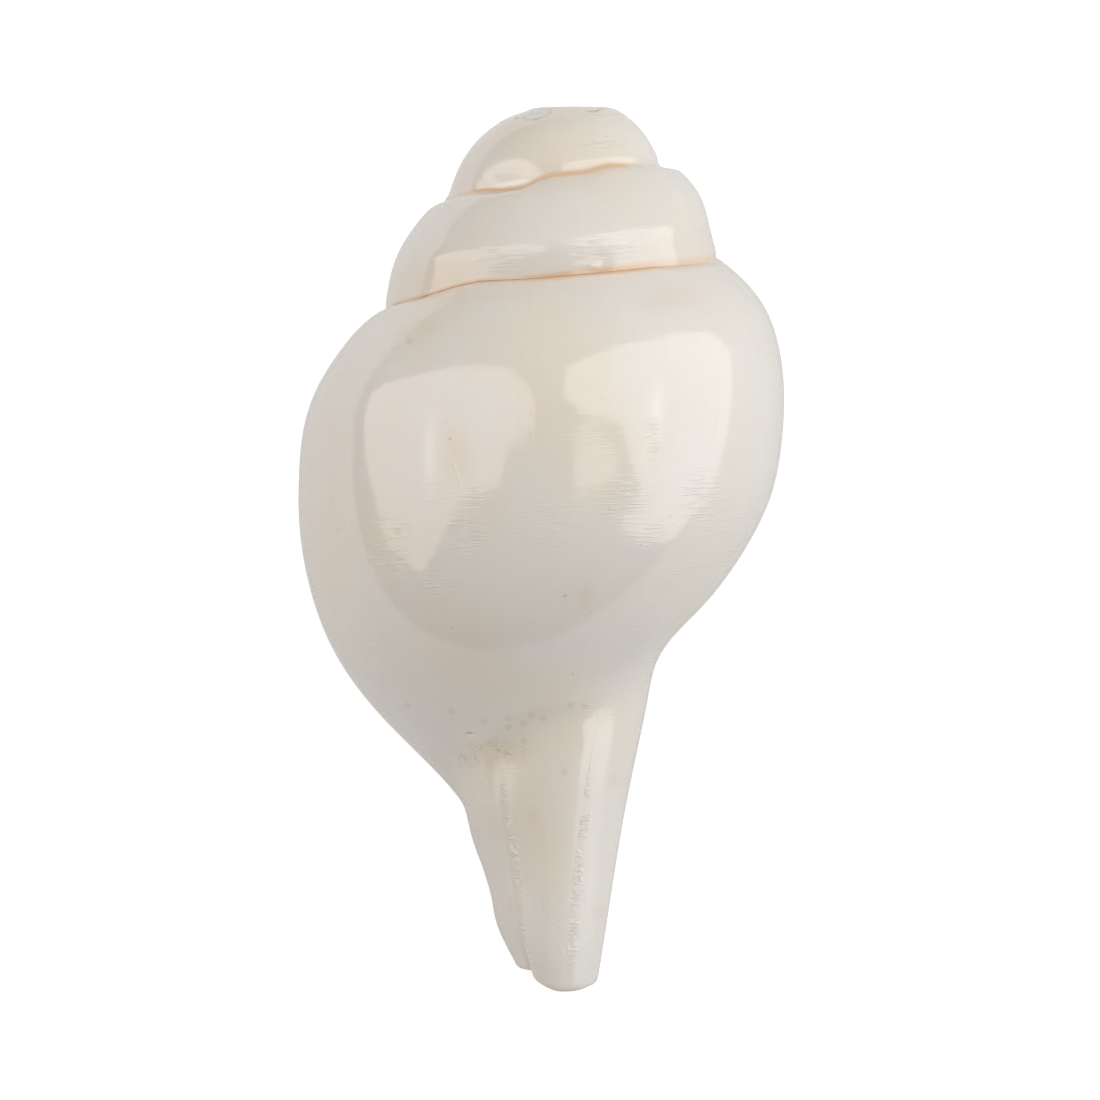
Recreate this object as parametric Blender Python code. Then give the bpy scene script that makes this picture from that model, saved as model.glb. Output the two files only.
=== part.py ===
"""Conch shell (sacred chank): one hollow, right-handed shell lying on its aperture.

The shell is a growth spiral. A half-plane turns about the shell's axis and carries the
outline of the newest whorl, which grows by the same ratio every turn. The angle is
unrolled: it counts on from turn to turn, and one full turn less is the previous whorl.
In the shell's frame +X is its right, +Y runs along the axis to the apex and +Z is its
back. Lengths in the constants are millimetres; the mesh is written in metres.
"""

import math

import bmesh
import bpy
import numpy as np

MM = 0.001

# Driving dimensions, mm and degrees
APEX_DEPTH = 20.0         # spire ground away, measured from the virtual apex
TIP_DEPTH = 149.2         # canal end, below the virtual apex
FULL_DEPTH = 150.0        # level of the canal's rounded end
TURN_GROWTH = 1.5         # size of one whorl over the one before
LIP_ANGLE = 205.0         # where the last whorl ends
HOLLOW_ANGLE = 444.0      # how far the hollow winds in behind the lip
WALL = 4.0                # wall of the body whorl at size 1
LIP_WALL = 2.5            # wall at the edge of the lip
CANAL_WALL = 1.9          # wall at the end of the canal
LIP_BOW = 5.0             # how far the middle of the lip bows forward, degrees
SPIRE_LEAN = 1.1          # how far the apex leans to the shell's right
LEAN_START = 85.0         # height above the tip where the lean begins
REST_PITCH = 16.53        # apex raised by this much when the shell lies still
REST_ROLL = 3.53          # turn about the axis when the shell lies still

# Outline of the last whorl as (radius, depth below the virtual apex): suture, shoulder,
# periphery, base and corner, on the shell's left (180 degrees) and right (0 degrees)
WHORL_LEFT = ((25.9, 49.2), (29.7, 52.3), (33.2, 56.5), (36.1, 61.2), (38.0, 66.5), (38.85, 73.8),
              (38.8, 82.0), (37.1, 91.5), (33.7, 100.0), (27.7, 108.0), (20.6, 114.6), (15.7, 119.7))
WHORL_RIGHT = ((21.7, 41.4), (25.0, 44.0), (28.45, 47.5), (30.7, 51.5), (31.95, 56.0), (32.55, 62.1),
               (32.2, 69.0), (30.6, 76.8), (26.9, 84.2), (21.6, 91.2), (16.4, 96.4), (13.8, 100.8))
NEXT_SUTURE = 5           # outline point that carries the following whorl's suture
FOOT_DEPTH = 83.5         # how far down the outline the following whorl's wall stands
CORNER = 11               # outline point where the base turns into the canal
SEAM_ANGLES = (-430.0, -360.0, -308.0, -295.0, -280.0, -262.0, -255.0, -248.0, -236.0, -222.0,
               -180.0, -120.0, -80.0, 0.0, 22.0, 38.0, 55.0, 100.0, 121.0, 131.0, 145.0, 175.0,
               204.0)
SEAM_RISE = (0.0, -0.2, 0.4, 0.7, 0.1, 0.0, -0.4, -1.3, -1.5, -1.1,
             -1.5, 0.0, 0.0, -0.7, -0.65, -0.35, 0.0, 0.0, 0.5, 0.1, -0.7, -0.8,
             0.0)         # how a seam wanders up or down from its spiral at those angles
SEAM_SLIDE = 0.45         # where the seam sinks it slides out, this much for 1 down,
SLIDE_SWING = 0.8         # and this much more on the right
SEAM_REACH = 2.2          # distance at which the outline follows the seam by 1/e

# Siphonal canal, below the corner
CANAL_LEFT = ((13.8, 125.5), (12.0, 131.0), (10.4, 136.5))
CANAL_RIGHT = ((12.4, 107.5), (9.9, 119.5), (7.7, 132.0))
CANAL_THIN = 0.93         # extra thinning of the columella in older turns
TIP_SHOULDER = (8.3, 5.6)  # radius just above the end, left and right
TIP_RADIUS = (7.0, 5.2)   # radius of the end, left and right
TIP_ROUND = 2.5           # height of the rounded end
END_MIDDLE = 86.0         # angle of the end's lowest point
END_SPREAD = (35.0, 58.0)  # degrees from there at which it has risen by 1, left and right
END_MOST = (3.4, 1.1)     # most that it rises, left and right
RISE_ROUND = 0.8          # rounding where it stops rising
LOBE_ANGLE = 139.0        # past this angle the canal is a lobe that stops short
LOBE_STEP = 10.0          # degrees over which the end rises to the lobe's
NOTCH_ANGLE = LIP_ANGLE - 180.0  # how far round the canal's channel cuts into the end

# The hollow, its wall and its edges
CHANNEL_SLANT = 0.61      # rise of the channel's blind edge, mm for each degree back
CHANNEL_CORNER = 0.985    # its depth further back, over the depth of the outline's corner
CHANNEL_ROUND = 6.0       # rounding between those two parts of it
WALL_THINS = 0.9          # where the wall starts to thin, over the depth of the corner
LIP_TAPER = 24.0          # degrees over which the wall thins to the lip's edge
BOW_FADE = 70.0           # degrees over which the growth lines take up the lip's bow
LEAST_GAP = 0.9           # narrowest clear width of the hollow before its rounding
ROOF_ROUND = 2.5          # rounding under the suture at size 1
CHANNEL_EDGE = 7.0        # height over which the channel closes
END_ROUND = 45.0          # degrees over which the hollow closes at its deep end
END_OPEN = 3.0            # degrees by which its end stays open, for the cap
END_BULGE = 2.0           # widest band that counts for the rounding of the canal's end
SLOPE_NUDGE = 0.4         # half the depth over which the wall's slope is taken
SLOPE_LIMIT = 1.6         # most slant length for one of depth

# Ridges on the columella
FOLDS = 3
FOLD_START = 117.0        # depth of the first ridge at size 1
FOLD_PITCH = 9.5          # spacing at size 1
FOLD_WIDTH = 2.9          # half width of a ridge where it falls to 1/e
FOLD_HEIGHT = 2.4
FOLD_FADE = 80.0          # degrees over which a ridge dies away outside the aperture

# Ground and worn apex: a dome about a point on the axis
DOME_CENTRE = 32.0        # depth of that point
DOME_SIDE = 13.3          # reach of the dome's side at the shell's back,
SIDE_SWING = 0.2          # and this much more on the right and less on the left
DOME_RIM = 30.0           # from this polar angle the reach grows,
DOME_FLARE = 0.039        # by this much for each degree at the shell's back,
FLARE_SWING = 0.026       # and this much more on the left and less on the right
DOME_SKIRT = 81.5         # from this polar angle it grows with the square,
SKIRT_SWING = 6.5         # starting later on the left and earlier on the right
SKIRT_RISE = 0.12
FLAT_ROUND = 0.6          # rounding between the flat and the side
WEAR_ROUND = 1.6          # rounding between the dome and the unworn whorls
GRIND_END = -180.0        # unrolled angle where the wear starts to fade
GRIND_FADE = 80.0
GRIND_LIFT = 8.0          # how far the dome lifts off the shell as the wear fades
FLAT_EDGE = 20.0          # polar angle of the apex flat's rim

# Mesh counts
STEP = 12.0               # degrees between columns
RIBBON_REACH = 1296.0     # how many degrees the outer ribbon reaches back from the lip
RIBBON_ROWS = 8           # rows between two sutures
FOOT_ROWS = 2             # rows across the edge of the wall
BASE_ROWS = (8, 13, 5)    # rows from the foot of the wall to the folds, past them, to the end
FOLD_PLACES = (0.41, 0.64)  # shares of the way down between which the folds lie
LIP_TURN = 7.0            # the last seventh of the lip's rows turns down to the canal
END_TURN = 8.0            # and the first eighth of the canal end's rows turns with it
FINE = 400                # samples used to look up the outline by depth
MERGE = 2e-6              # metres; joins the strips' shared edges


def smooth_step(value):
    """0 below 0, 1 above 1, and a smooth S between."""
    t = np.clip(value, 0.0, 1.0)
    return t * t * (3.0 - 2.0 * t)


def smooth_min(a, b, width):
    """The smaller of a and b, with the corner rounded over width."""
    h = np.maximum(width - np.abs(a - b), 0.0) / width
    return np.minimum(a, b) - h * h * width / 4.0


def quarter_round(value):
    """Rises from 0 at 0 to 1 at 1 as a quarter of a circle."""
    t = 1.0 - np.clip(value, 0.0, 1.0)
    return np.sqrt(1.0 - t * t)


def spline_matrix(knots, places):
    """Matrix that takes values at the knots to a natural cubic spline at the places."""
    count = len(knots)
    gap = np.diff(knots)
    bend_left = np.eye(count)
    bend_right = np.zeros((count, count))
    for i in range(1, count - 1):
        bend_left[i, i - 1:i + 2] = gap[i - 1], 2.0 * (gap[i - 1] + gap[i]), gap[i]
        bend_right[i, i - 1:i + 2] = 6.0 / gap[i - 1], -6.0 / gap[i - 1] - 6.0 / gap[i], 6.0 / gap[i]
    bend = np.linalg.solve(bend_left, bend_right)
    span = np.clip(np.searchsorted(knots, places, side="right") - 1, 0, count - 2)
    b = (places - knots[span]) / gap[span]
    a = 1.0 - b
    unit = np.eye(count)
    straight = a[:, None] * unit[span] + b[:, None] * unit[span + 1]
    curved = (a ** 3 - a)[:, None] * bend[span] + (b ** 3 - b)[:, None] * bend[span + 1]
    return straight + curved * (gap[span] ** 2)[:, None] / 6.0


def growth(angle):
    """Size of the whorl at an unrolled angle, 1 on the left of the last turn."""
    return TURN_GROWTH ** ((angle - 180.0) / 360.0)


def tip_depth(angle):
    """Depth of the canal's end: an arc that rises with the square, and the left lobe."""
    past = (angle - END_MIDDLE + 180.0) % 360.0 - 180.0
    spread = np.where(past > 0.0, *END_SPREAD)
    left, right = END_MOST
    most = right + (left - right) * (1.0 - np.cos(np.radians(angle))) / 2.0
    arc = smooth_min((past / spread) ** 2, most, RISE_ROUND)
    lobe = smooth_step((past + END_MIDDLE - LOBE_ANGLE) / LOBE_STEP + 0.5)
    return TIP_DEPTH - arc - (most - arc) * lobe


def outline_points(angle):
    """Control points of the outline at each angle, shape (angles, points, 2)."""
    angle = np.asarray(angle, float)[:, None]
    to_right = (1.0 + np.cos(np.radians(angle))) / 2.0
    back = (180.0 - angle) / 180.0
    thin = CANAL_THIN ** (0.5 * np.maximum(back - 1.0, 0.0) ** 2)
    both = []
    for axis in (0, 1):
        left, right = np.array(WHORL_LEFT)[:, axis], np.array(WHORL_RIGHT)[:, axis]
        whorl = left * growth(angle) * (right / (left * growth(0.0))) ** to_right
        left, right = np.array(CANAL_LEFT)[:, axis], np.array(CANAL_RIGHT)[:, axis]
        both.append([whorl, left * (right / left) ** back])
    left, right = np.array([TIP_SHOULDER, TIP_RADIUS]).T
    end = tip_depth(angle)
    radius = np.concatenate([both[0][0], both[0][1] * thin, left * (right / left) ** back], axis=1)
    depth = np.concatenate([both[1][0], both[1][1], end - TIP_ROUND, end], axis=1)
    return np.stack([radius, depth], axis=2)


def outline_knots():
    """Distances along the outline at the shell's back, the knots of every outline."""
    points = outline_points([90.0])[0]
    steps = np.hypot(*np.diff(points, axis=0).T)
    return np.concatenate([[0.0], np.cumsum(steps)])


KNOTS = outline_knots()
AT_NEXT = KNOTS[NEXT_SUTURE]
AT_END = KNOTS[-1]


def fold_height(angle, depth):
    """Height of the spiral ridges on the columella."""
    size = growth(angle)
    inside = 1.0 - smooth_step((angle - LIP_ANGLE + 360.0) / FOLD_FADE)
    ridges = 0.0
    for i in range(FOLDS):
        ridges = ridges + np.exp(-((depth / size - FOLD_START - i * FOLD_PITCH) / FOLD_WIDTH) ** 2)
    return FOLD_HEIGHT * size * inside * ridges


def outline(angle, places):
    """Radius and depth of the outer face, shape (angles, places)."""
    angle = np.asarray(angle, float)
    points = outline_points(angle)
    if np.ndim(places) == 1:
        face = spline_matrix(KNOTS, np.asarray(places)) @ points
    else:
        face = np.array([spline_matrix(KNOTS, row) @ p for row, p in zip(places, points)])
    radius, depth = face[..., 0], face[..., 1]
    return radius + fold_height(angle[:, None], depth), depth


def foot_place():
    """Place on the outline where the following whorl's wall ends inside."""
    places = np.linspace(0.0, AT_END, FINE)
    _, depth = outline([180.0], places)
    return float(np.interp(FOOT_DEPTH, depth[0], places))


AT_FOOT = foot_place()


def base_shares():
    """Shares of the way from the foot of the wall to the end, closer over the folds."""
    first, last = FOLD_PLACES
    parts = [np.linspace(0.0, first, BASE_ROWS[0] + 1)[:-1],
             np.linspace(first, last, BASE_ROWS[1] + 1)[:-1],
             np.linspace(last, 1.0, BASE_ROWS[2] + 1)]
    return np.concatenate(parts)


def base_places():
    """Places of the rows below the following suture's line, foot of the wall first."""
    foot = np.linspace(AT_NEXT, AT_FOOT, FOOT_ROWS + 1)[:-1]
    return np.concatenate([foot, AT_FOOT + (AT_END - AT_FOOT) * base_shares()])


def look_up(angle, depth, want):
    """Outline radius (want='radius') or place at given depths, shape (angles, depths)."""
    places = np.linspace(0.0, AT_END, FINE)
    radius, deep = outline(angle, places)
    rows = []
    for i in range(len(angle)):
        values = radius[i] if want == "radius" else places
        rows.append(np.interp(depth[i], deep[i], values))
    return np.array(rows)


def steepness(angle, depth):
    """Slant length over depth of the outer face, limited on the shoulder."""
    above = look_up(angle, depth - SLOPE_NUDGE, "radius")
    below = look_up(angle, depth + SLOPE_NUDGE, "radius")
    slope = (below - above) / (2.0 * SLOPE_NUDGE)
    return np.minimum(np.hypot(1.0, slope), SLOPE_LIMIT)


def grind(polar, reach, angle, wear_angle):
    """Wear the spire down to a flat-topped dome where wear_angle is early."""
    to_right = np.cos(np.radians(angle))
    flat = (DOME_CENTRE - APEX_DEPTH) / np.maximum(np.cos(np.radians(polar)), 0.05)
    flare = (DOME_FLARE - FLARE_SWING * to_right) * np.maximum(polar - DOME_RIM, 0.0)
    skirt = np.maximum(polar - DOME_SKIRT + SKIRT_SWING * to_right, 0.0)
    side = DOME_SIDE + SIDE_SWING * to_right + flare + SKIRT_RISE * skirt ** 2
    dome = smooth_min(flat, side, FLAT_ROUND)
    dome = dome + GRIND_LIFT * smooth_step((wear_angle - GRIND_END) / GRIND_FADE)
    return smooth_min(reach, dome, WEAR_ROUND)


def wander(radius, depth, angle, across):
    """Let the seam wander up and down from its spiral, and the faces beside it follow."""
    for seam_angle, share in ((angle, across), (angle + 360.0, 1.0 - across)):
        rise = np.interp(seam_angle, SEAM_ANGLES, SEAM_RISE)
        rise = rise * np.exp(-(AT_NEXT * share * growth(angle) / SEAM_REACH) ** 2)
        depth = depth - rise
        slide = SEAM_SLIDE + SLIDE_SWING * np.maximum(np.cos(np.radians(angle)), 0.0)
        radius = radius + slide * np.maximum(-rise, 0.0)
    return radius, depth


def to_polar(radius, depth):
    """Polar angle and reach about the dome's centre."""
    height = DOME_CENTRE - depth
    return np.degrees(np.arctan2(radius, height)), np.hypot(radius, height)


def from_polar(polar, reach):
    """Radius and depth from polar angle and reach."""
    turn = np.radians(polar)
    return reach * np.sin(turn), DOME_CENTRE - reach * np.cos(turn)


def bow(angle, depth, top):
    """Angle of a point, where the lip bows forward between suture and tip."""
    along = np.clip((depth - top) / (tip_depth(angle) - top), 0.0, 1.0)
    near = smooth_step((angle - LIP_ANGLE) / BOW_FADE + 1.0)
    return angle + LIP_BOW * near * np.sin(math.pi * along)


def place(radius, depth, angle):
    """Points in the shell's frame, mm, with the spire's slight lean."""
    turn = np.radians(angle)
    along = FULL_DEPTH - depth
    height = FULL_DEPTH - APEX_DEPTH - LEAN_START
    lean = SPIRE_LEAN * (np.maximum(along - LEAN_START, 0.0) / height) ** 3
    return np.stack([radius * np.cos(turn) + lean, along, radius * np.sin(turn)], axis=-1)


def columns(first, last):
    """Unrolled angles from first to last, STEP apart."""
    return np.linspace(first, last, round((last - first) / STEP) + 1)


def ribbon():
    """Outer face between sutures, one strip from the apex to the lip.

    It starts with no width on a small ring of the dome, so its first turn is a wedge.
    """
    start = LIP_ANGLE - RIBBON_REACH
    angle = columns(start, LIP_ANGLE)
    across = np.linspace(0.0, 1.0, RIBBON_ROWS + 1)
    radius, depth = outline(angle, AT_NEXT * across)
    top = depth[:, :1]
    polar, reach = to_polar(radius, depth)
    first = round(360.0 / STEP)
    ring = polar[first, 0], reach[first, 0]
    grown = smooth_step((angle[:first] - start) / 360.0)[:, None]
    for field, rim in zip((polar, reach), ring):
        wedge = field[:first]
        bulge = wedge - (1.0 - across) * wedge[:, :1] - across * wedge[:, -1:]
        field[:first] = (1.0 - across) * rim + across * wedge[:, -1:] + grown * bulge
    angle = angle[:, None]
    wear_angle = angle + 360.0 * across
    radius, depth = from_polar(polar, grind(polar, reach, angle, wear_angle))
    bowed = bow(angle, depth, top)
    return place(*wander(radius, depth, angle, across), bowed), ring[0]


def apex_cap(ring_polar):
    """Top of the dome: the ground flat and its rounded rim, down to the ribbon's ring."""
    angle = columns(0.0, 360.0) + LIP_ANGLE
    polar = np.array([0.0, FLAT_EDGE, (FLAT_EDGE + ring_polar) / 2.0, ring_polar])
    polar, angle = np.meshgrid(polar, angle)
    reach = grind(polar, np.full(polar.shape, 2.0 * DOME_SIDE), angle, 3.0 * GRIND_END)
    return place(*from_polar(polar, reach), angle)


def base():
    """Outer face of the last turn, below the following suture's line, to the tip."""
    angle = columns(LIP_ANGLE - 360.0, LIP_ANGLE)
    radius, depth = outline(angle, base_places())
    top = outline(angle, np.zeros(1))[1]
    return place(radius, depth, bow(angle[:, None], depth, top))


def channel_bottom(angle):
    """Depths where the hollow's blind edge lies, and where its rows end."""
    slant = tip_depth(angle) - CHANNEL_SLANT * (NOTCH_ANGLE - angle)
    main = outline_points(angle)[:, CORNER - 1, 1] * CHANNEL_CORNER
    blind = -smooth_min(-slant, -main, CHANNEL_ROUND)
    return blind, np.minimum(blind, tip_depth(angle))


def hollow():
    """Both sides of the hollow: under the outer wall, and over the previous whorl."""
    angle = columns(LIP_ANGLE - HOLLOW_ANGLE, LIP_ANGLE)
    blind, bottom = channel_bottom(angle)
    closed = angle <= NOTCH_ANGLE + 1e-6

    inner_end = look_up(angle - 360.0, bottom[:, None], "place")[:, 0]
    inner_end[~closed] = AT_END
    inner_end[angle > NOTCH_ANGLE - 0.5 * STEP] = AT_END
    places = AT_FOOT + (inner_end - AT_FOOT)[:, None] * base_shares()
    inner_radius, inner_depth = outline(angle - 360.0, places)

    rows = np.concatenate([AT_NEXT * np.linspace(0.0, 1.0, RIBBON_ROWS + 1)[:-1], base_places()])
    _, lip_depth = outline([LIP_ANGLE], rows)
    share = (lip_depth[0] - lip_depth[0, 0]) / (lip_depth[0, -1] - lip_depth[0, 0])
    top = inner_depth[:, :1]
    depth = top + (bottom[:, None] - top) * share

    size = growth(angle)[:, None]
    corner = outline_points(angle)[:, CORNER, 1][:, None]
    down = smooth_step((depth - WALL_THINS * corner) / (FULL_DEPTH - WALL_THINS * corner))
    wall = WALL * size * (1.0 - down) + CANAL_WALL * down
    near_lip = smooth_step((angle - LIP_ANGLE) / LIP_TAPER + 1.0)[:, None]
    wall = wall * (1.0 - near_lip) + np.minimum(wall, LIP_WALL) * near_lip
    under = look_up(angle, depth, "radius") - wall * steepness(angle, depth)
    over = np.array([np.interp(*row) for row in zip(depth, inner_depth, inner_radius)])
    gap = np.maximum(under - over, LEAST_GAP)
    gap = gap * quarter_round((depth - top) / (ROOF_ROUND * size))
    gap = gap * quarter_round((blind[:, None] - depth) / CHANNEL_EDGE)
    gap = gap * quarter_round((angle - angle[0] + END_OPEN) / END_ROUND)[:, None]
    turned = bow(angle[:, None], depth, top)

    outer_side = place(over + gap, depth, turned)
    inner_side = place(inner_radius, inner_depth, angle[:, None] + 0.0 * inner_depth)
    outer_side[:, 0] = inner_side[:, 0]
    outer_side[closed, -1] = inner_side[closed, -1]
    return outer_side, inner_side


def lip_forward():
    """Direction in which the lip grows on."""
    turn = math.radians(LIP_ANGLE)
    return np.array([-math.sin(turn), 0.0, math.cos(turn)])


def edge_band(outer, inner, width, turn):
    """Half-round strip from the outer edge to the inner edge, turned from forward to down."""
    out = np.cos(turn)[:, None] * lip_forward() - np.sin(turn)[:, None] * np.array([0.0, 1.0, 0.0])
    around = np.linspace(0.0, math.pi, FOOT_ROWS + 1)[None, :, None]
    near = (1.0 + np.cos(around)) / 2.0
    straight = outer[:, None] * near + inner[:, None] * (1.0 - near)
    return straight + (0.5 * width * out)[:, None] * np.sin(around)


def lip(outer, inner, foot):
    """Rounded edge of the lip, from the suture down to the canal's end."""
    width = np.linalg.norm(outer - inner, axis=1, keepdims=True)
    turn = math.pi / 4.0 * smooth_step(np.linspace(1.0 - LIP_TURN, 1.0, len(outer)))
    band = edge_band(outer, inner, width, turn)
    band[0] = foot
    return band


def canal_end(outer, inner):
    """Rounded end of the canal, round its wall and across the columella."""
    width = np.linalg.norm(outer - inner, axis=1, keepdims=True)
    turn = math.pi / 4.0 * (1.0 + smooth_step(np.linspace(0.0, END_TURN, len(outer))))
    return edge_band(outer, inner, np.minimum(width, END_BULGE), turn)


def add_grid(mesh, points):
    """Add a grid of points, shape (rows, columns, 3), as quads."""
    verts = [[mesh.verts.new(p) for p in row] for row in points * MM]
    for above, below in zip(verts, verts[1:]):
        for i in range(len(above) - 1):
            mesh.faces.new((above[i], above[i + 1], below[i + 1], below[i]))


def add_fan(mesh, loop):
    """Close a loop of points with a fan to its middle."""
    verts = [mesh.verts.new(p) for p in loop * MM]
    middle = mesh.verts.new(loop.mean(axis=0) * MM)
    for i, vert in enumerate(verts):
        mesh.faces.new((vert, verts[(i + 1) % len(verts)], middle))


def shell_mesh():
    """The whole closed skin of the shell as one mesh."""
    outside, ring_polar = ribbon()
    lower = base()
    outer_side, inner_side = hollow()
    per_turn = round(360.0 / STEP)
    half_turn = per_turn // 2

    lip_outer = np.concatenate([outside[-1], lower[-1, 1:]])
    lip_band = lip(lip_outer, outer_side[-1], lower[0, :FOOT_ROWS + 1])
    ring = lower[::-1, -1]
    notch = np.concatenate([outer_side[::-1, -1][:half_turn + 1],
                            inner_side[len(inner_side) - half_turn:, -1]])
    end_band = canal_end(ring, notch)
    end_band[0] = lip_band[-1]
    end_band[-1] = ring[-1]

    mesh = bmesh.new()
    for points in (outside, apex_cap(ring_polar), lower, outer_side, inner_side, lip_band, end_band):
        add_grid(mesh, points)
    add_fan(mesh, np.concatenate([outer_side[0], inner_side[0, -2:0:-1]]))
    bmesh.ops.remove_doubles(mesh, verts=mesh.verts, dist=MERGE)
    bmesh.ops.dissolve_degenerate(mesh, edges=mesh.edges, dist=MERGE / 2.0)
    bmesh.ops.recalc_face_normals(mesh, faces=mesh.faces)
    return mesh


def lay_down(mesh):
    """Turn the shell to its rest, centre it and set it on the floor."""
    pitch, roll = math.radians(REST_PITCH), math.radians(REST_ROLL)
    for vert in mesh.verts:
        x, y, z = vert.co
        x, z = x * math.cos(roll) + z * math.sin(roll), z * math.cos(roll) - x * math.sin(roll)
        y, z = y * math.cos(pitch) - z * math.sin(pitch), y * math.sin(pitch) + z * math.cos(pitch)
        vert.co = x, y, z
    low = [min(vert.co[axis] for vert in mesh.verts) for axis in range(3)]
    high = [max(vert.co[axis] for vert in mesh.verts) for axis in range(3)]
    shift = (-(low[0] + high[0]) / 2.0, -(low[1] + high[1]) / 2.0, -low[2])
    bmesh.ops.translate(mesh, verts=mesh.verts, vec=shift)


def shell_material():
    """Polished shell, warm white."""
    material = bpy.data.materials.new("polished_shell")
    material.use_nodes = True
    shader = material.node_tree.nodes["Principled BSDF"]
    shader.inputs["Base Color"].default_value = (0.80, 0.76, 0.70, 1.0)
    shader.inputs["Roughness"].default_value = 0.15
    shader.inputs["Metallic"].default_value = 0.0
    return material


def build():
    """Empty the scene and make the shell."""
    for item in list(bpy.data.objects):
        bpy.data.objects.remove(item, do_unlink=True)
    collection = bpy.data.collections.new("conch_shell")
    bpy.context.scene.collection.children.link(collection)
    mesh = shell_mesh()
    lay_down(mesh)
    data = bpy.data.meshes.new("shell")
    mesh.to_mesh(data)
    mesh.free()
    data.shade_smooth()
    data.materials.append(shell_material())
    collection.objects.link(bpy.data.objects.new("shell", data))


build()
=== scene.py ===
"""Conch shell: one polished, right-handed chank shell lying on its mouth, with its stage.

The shell is a growth spiral. A half-plane turns about the shell's axis and carries the
outline of the newest whorl, which grows by the same ratio every turn. The angle is
unrolled: it counts on from turn to turn, and one full turn less is the previous whorl.
In the shell's own frame +X is its right, +Y runs along the axis to the apex and +Z is
its back. Lengths of the shell are millimetres; meshes are written in metres.
"""

import math

import bmesh
import bpy
import numpy as np
from bpy.props import FloatProperty, FloatVectorProperty, IntProperty, PointerProperty
from mathutils import Matrix, Vector


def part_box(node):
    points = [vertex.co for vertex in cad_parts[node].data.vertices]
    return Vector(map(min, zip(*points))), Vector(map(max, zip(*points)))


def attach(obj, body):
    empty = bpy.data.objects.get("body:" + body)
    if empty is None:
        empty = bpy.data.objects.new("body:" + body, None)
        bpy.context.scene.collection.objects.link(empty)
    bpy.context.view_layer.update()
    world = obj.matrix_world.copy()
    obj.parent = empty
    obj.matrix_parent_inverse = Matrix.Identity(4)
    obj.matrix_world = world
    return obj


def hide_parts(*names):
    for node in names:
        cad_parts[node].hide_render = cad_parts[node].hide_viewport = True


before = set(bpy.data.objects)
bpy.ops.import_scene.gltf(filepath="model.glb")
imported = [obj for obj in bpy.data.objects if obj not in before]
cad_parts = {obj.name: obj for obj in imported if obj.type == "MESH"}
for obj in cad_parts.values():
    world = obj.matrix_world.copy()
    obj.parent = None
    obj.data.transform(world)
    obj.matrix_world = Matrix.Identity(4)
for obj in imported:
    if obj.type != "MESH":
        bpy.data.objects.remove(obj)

bl_info = {
    "name": "Conch shell",
    "version": (1, 0, 0),
    "blender": (4, 5, 0),
    "location": "View3D > Sidebar > Conch shell",
    "description": "A polished spiral shell with a low spire, a swollen body and a long canal",
    "category": "Object",
}

MM = 0.001
NODE = "shell"
BODY = "root"

# Proportions that stay as they are on every shell of this kind
APEX_DEPTH = 20.0         # spire ground away, measured from the virtual apex
TIP_DEPTH = 149.2         # canal end, below the virtual apex
FULL_DEPTH = 150.0        # level of the canal's rounded end
TURN_GROWTH = 1.5         # size of one whorl over the one before
LIP_ANGLE = 205.0         # where the last whorl ends
HOLLOW_ANGLE = 444.0      # how far the hollow winds in behind the lip
LIP_BOW = 5.0             # how far the middle of the lip bows forward, degrees
SPIRE_LEAN = 1.1          # how far the apex leans to the shell's right
LEAN_START = 85.0         # height above the tip where the lean begins
REST_PITCH = 16.53        # apex raised by this much when the shell lies still
REST_ROLL = 3.53          # turn about the axis when the shell lies still

# Outline of the last whorl as (radius, depth below the virtual apex): suture, shoulder,
# periphery, base and corner, on the shell's left (180 degrees) and right (0 degrees)
WHORL_LEFT = ((25.9, 49.2), (29.7, 52.3), (33.2, 56.5), (36.1, 61.2), (38.0, 66.5), (38.85, 73.8),
              (38.8, 82.0), (37.1, 91.5), (33.7, 100.0), (27.7, 108.0), (20.6, 114.6), (15.7, 119.7))
WHORL_RIGHT = ((21.7, 41.4), (25.0, 44.0), (28.45, 47.5), (30.7, 51.5), (31.95, 56.0), (32.55, 62.1),
               (32.2, 69.0), (30.6, 76.8), (26.9, 84.2), (21.6, 91.2), (16.4, 96.4), (13.8, 100.8))
NEXT_SUTURE = 5           # outline point that carries the following whorl's suture
FOOT_DEPTH = 83.5         # how far down the outline the following whorl's wall stands
CORNER = 11               # outline point where the base turns into the canal
SEAM_ANGLES = (-430.0, -360.0, -308.0, -295.0, -280.0, -262.0, -255.0, -248.0, -236.0, -222.0,
               -180.0, -120.0, -80.0, 0.0, 22.0, 38.0, 55.0, 100.0, 121.0, 131.0, 145.0, 175.0,
               204.0)
SEAM_RISE = (0.0, -0.2, 0.4, 0.7, 0.1, 0.0, -0.4, -1.3, -1.5, -1.1,
             -1.5, 0.0, 0.0, -0.7, -0.65, -0.35, 0.0, 0.0, 0.5, 0.1, -0.7, -0.8,
             0.0)         # how a seam wanders up or down from its spiral at those angles
SEAM_SLIDE = 0.45         # where the seam sinks it slides out, this much for 1 down,
SLIDE_SWING = 0.8         # and this much more on the right
SEAM_REACH = 2.2          # distance at which the outline follows the seam by 1/e

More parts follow.
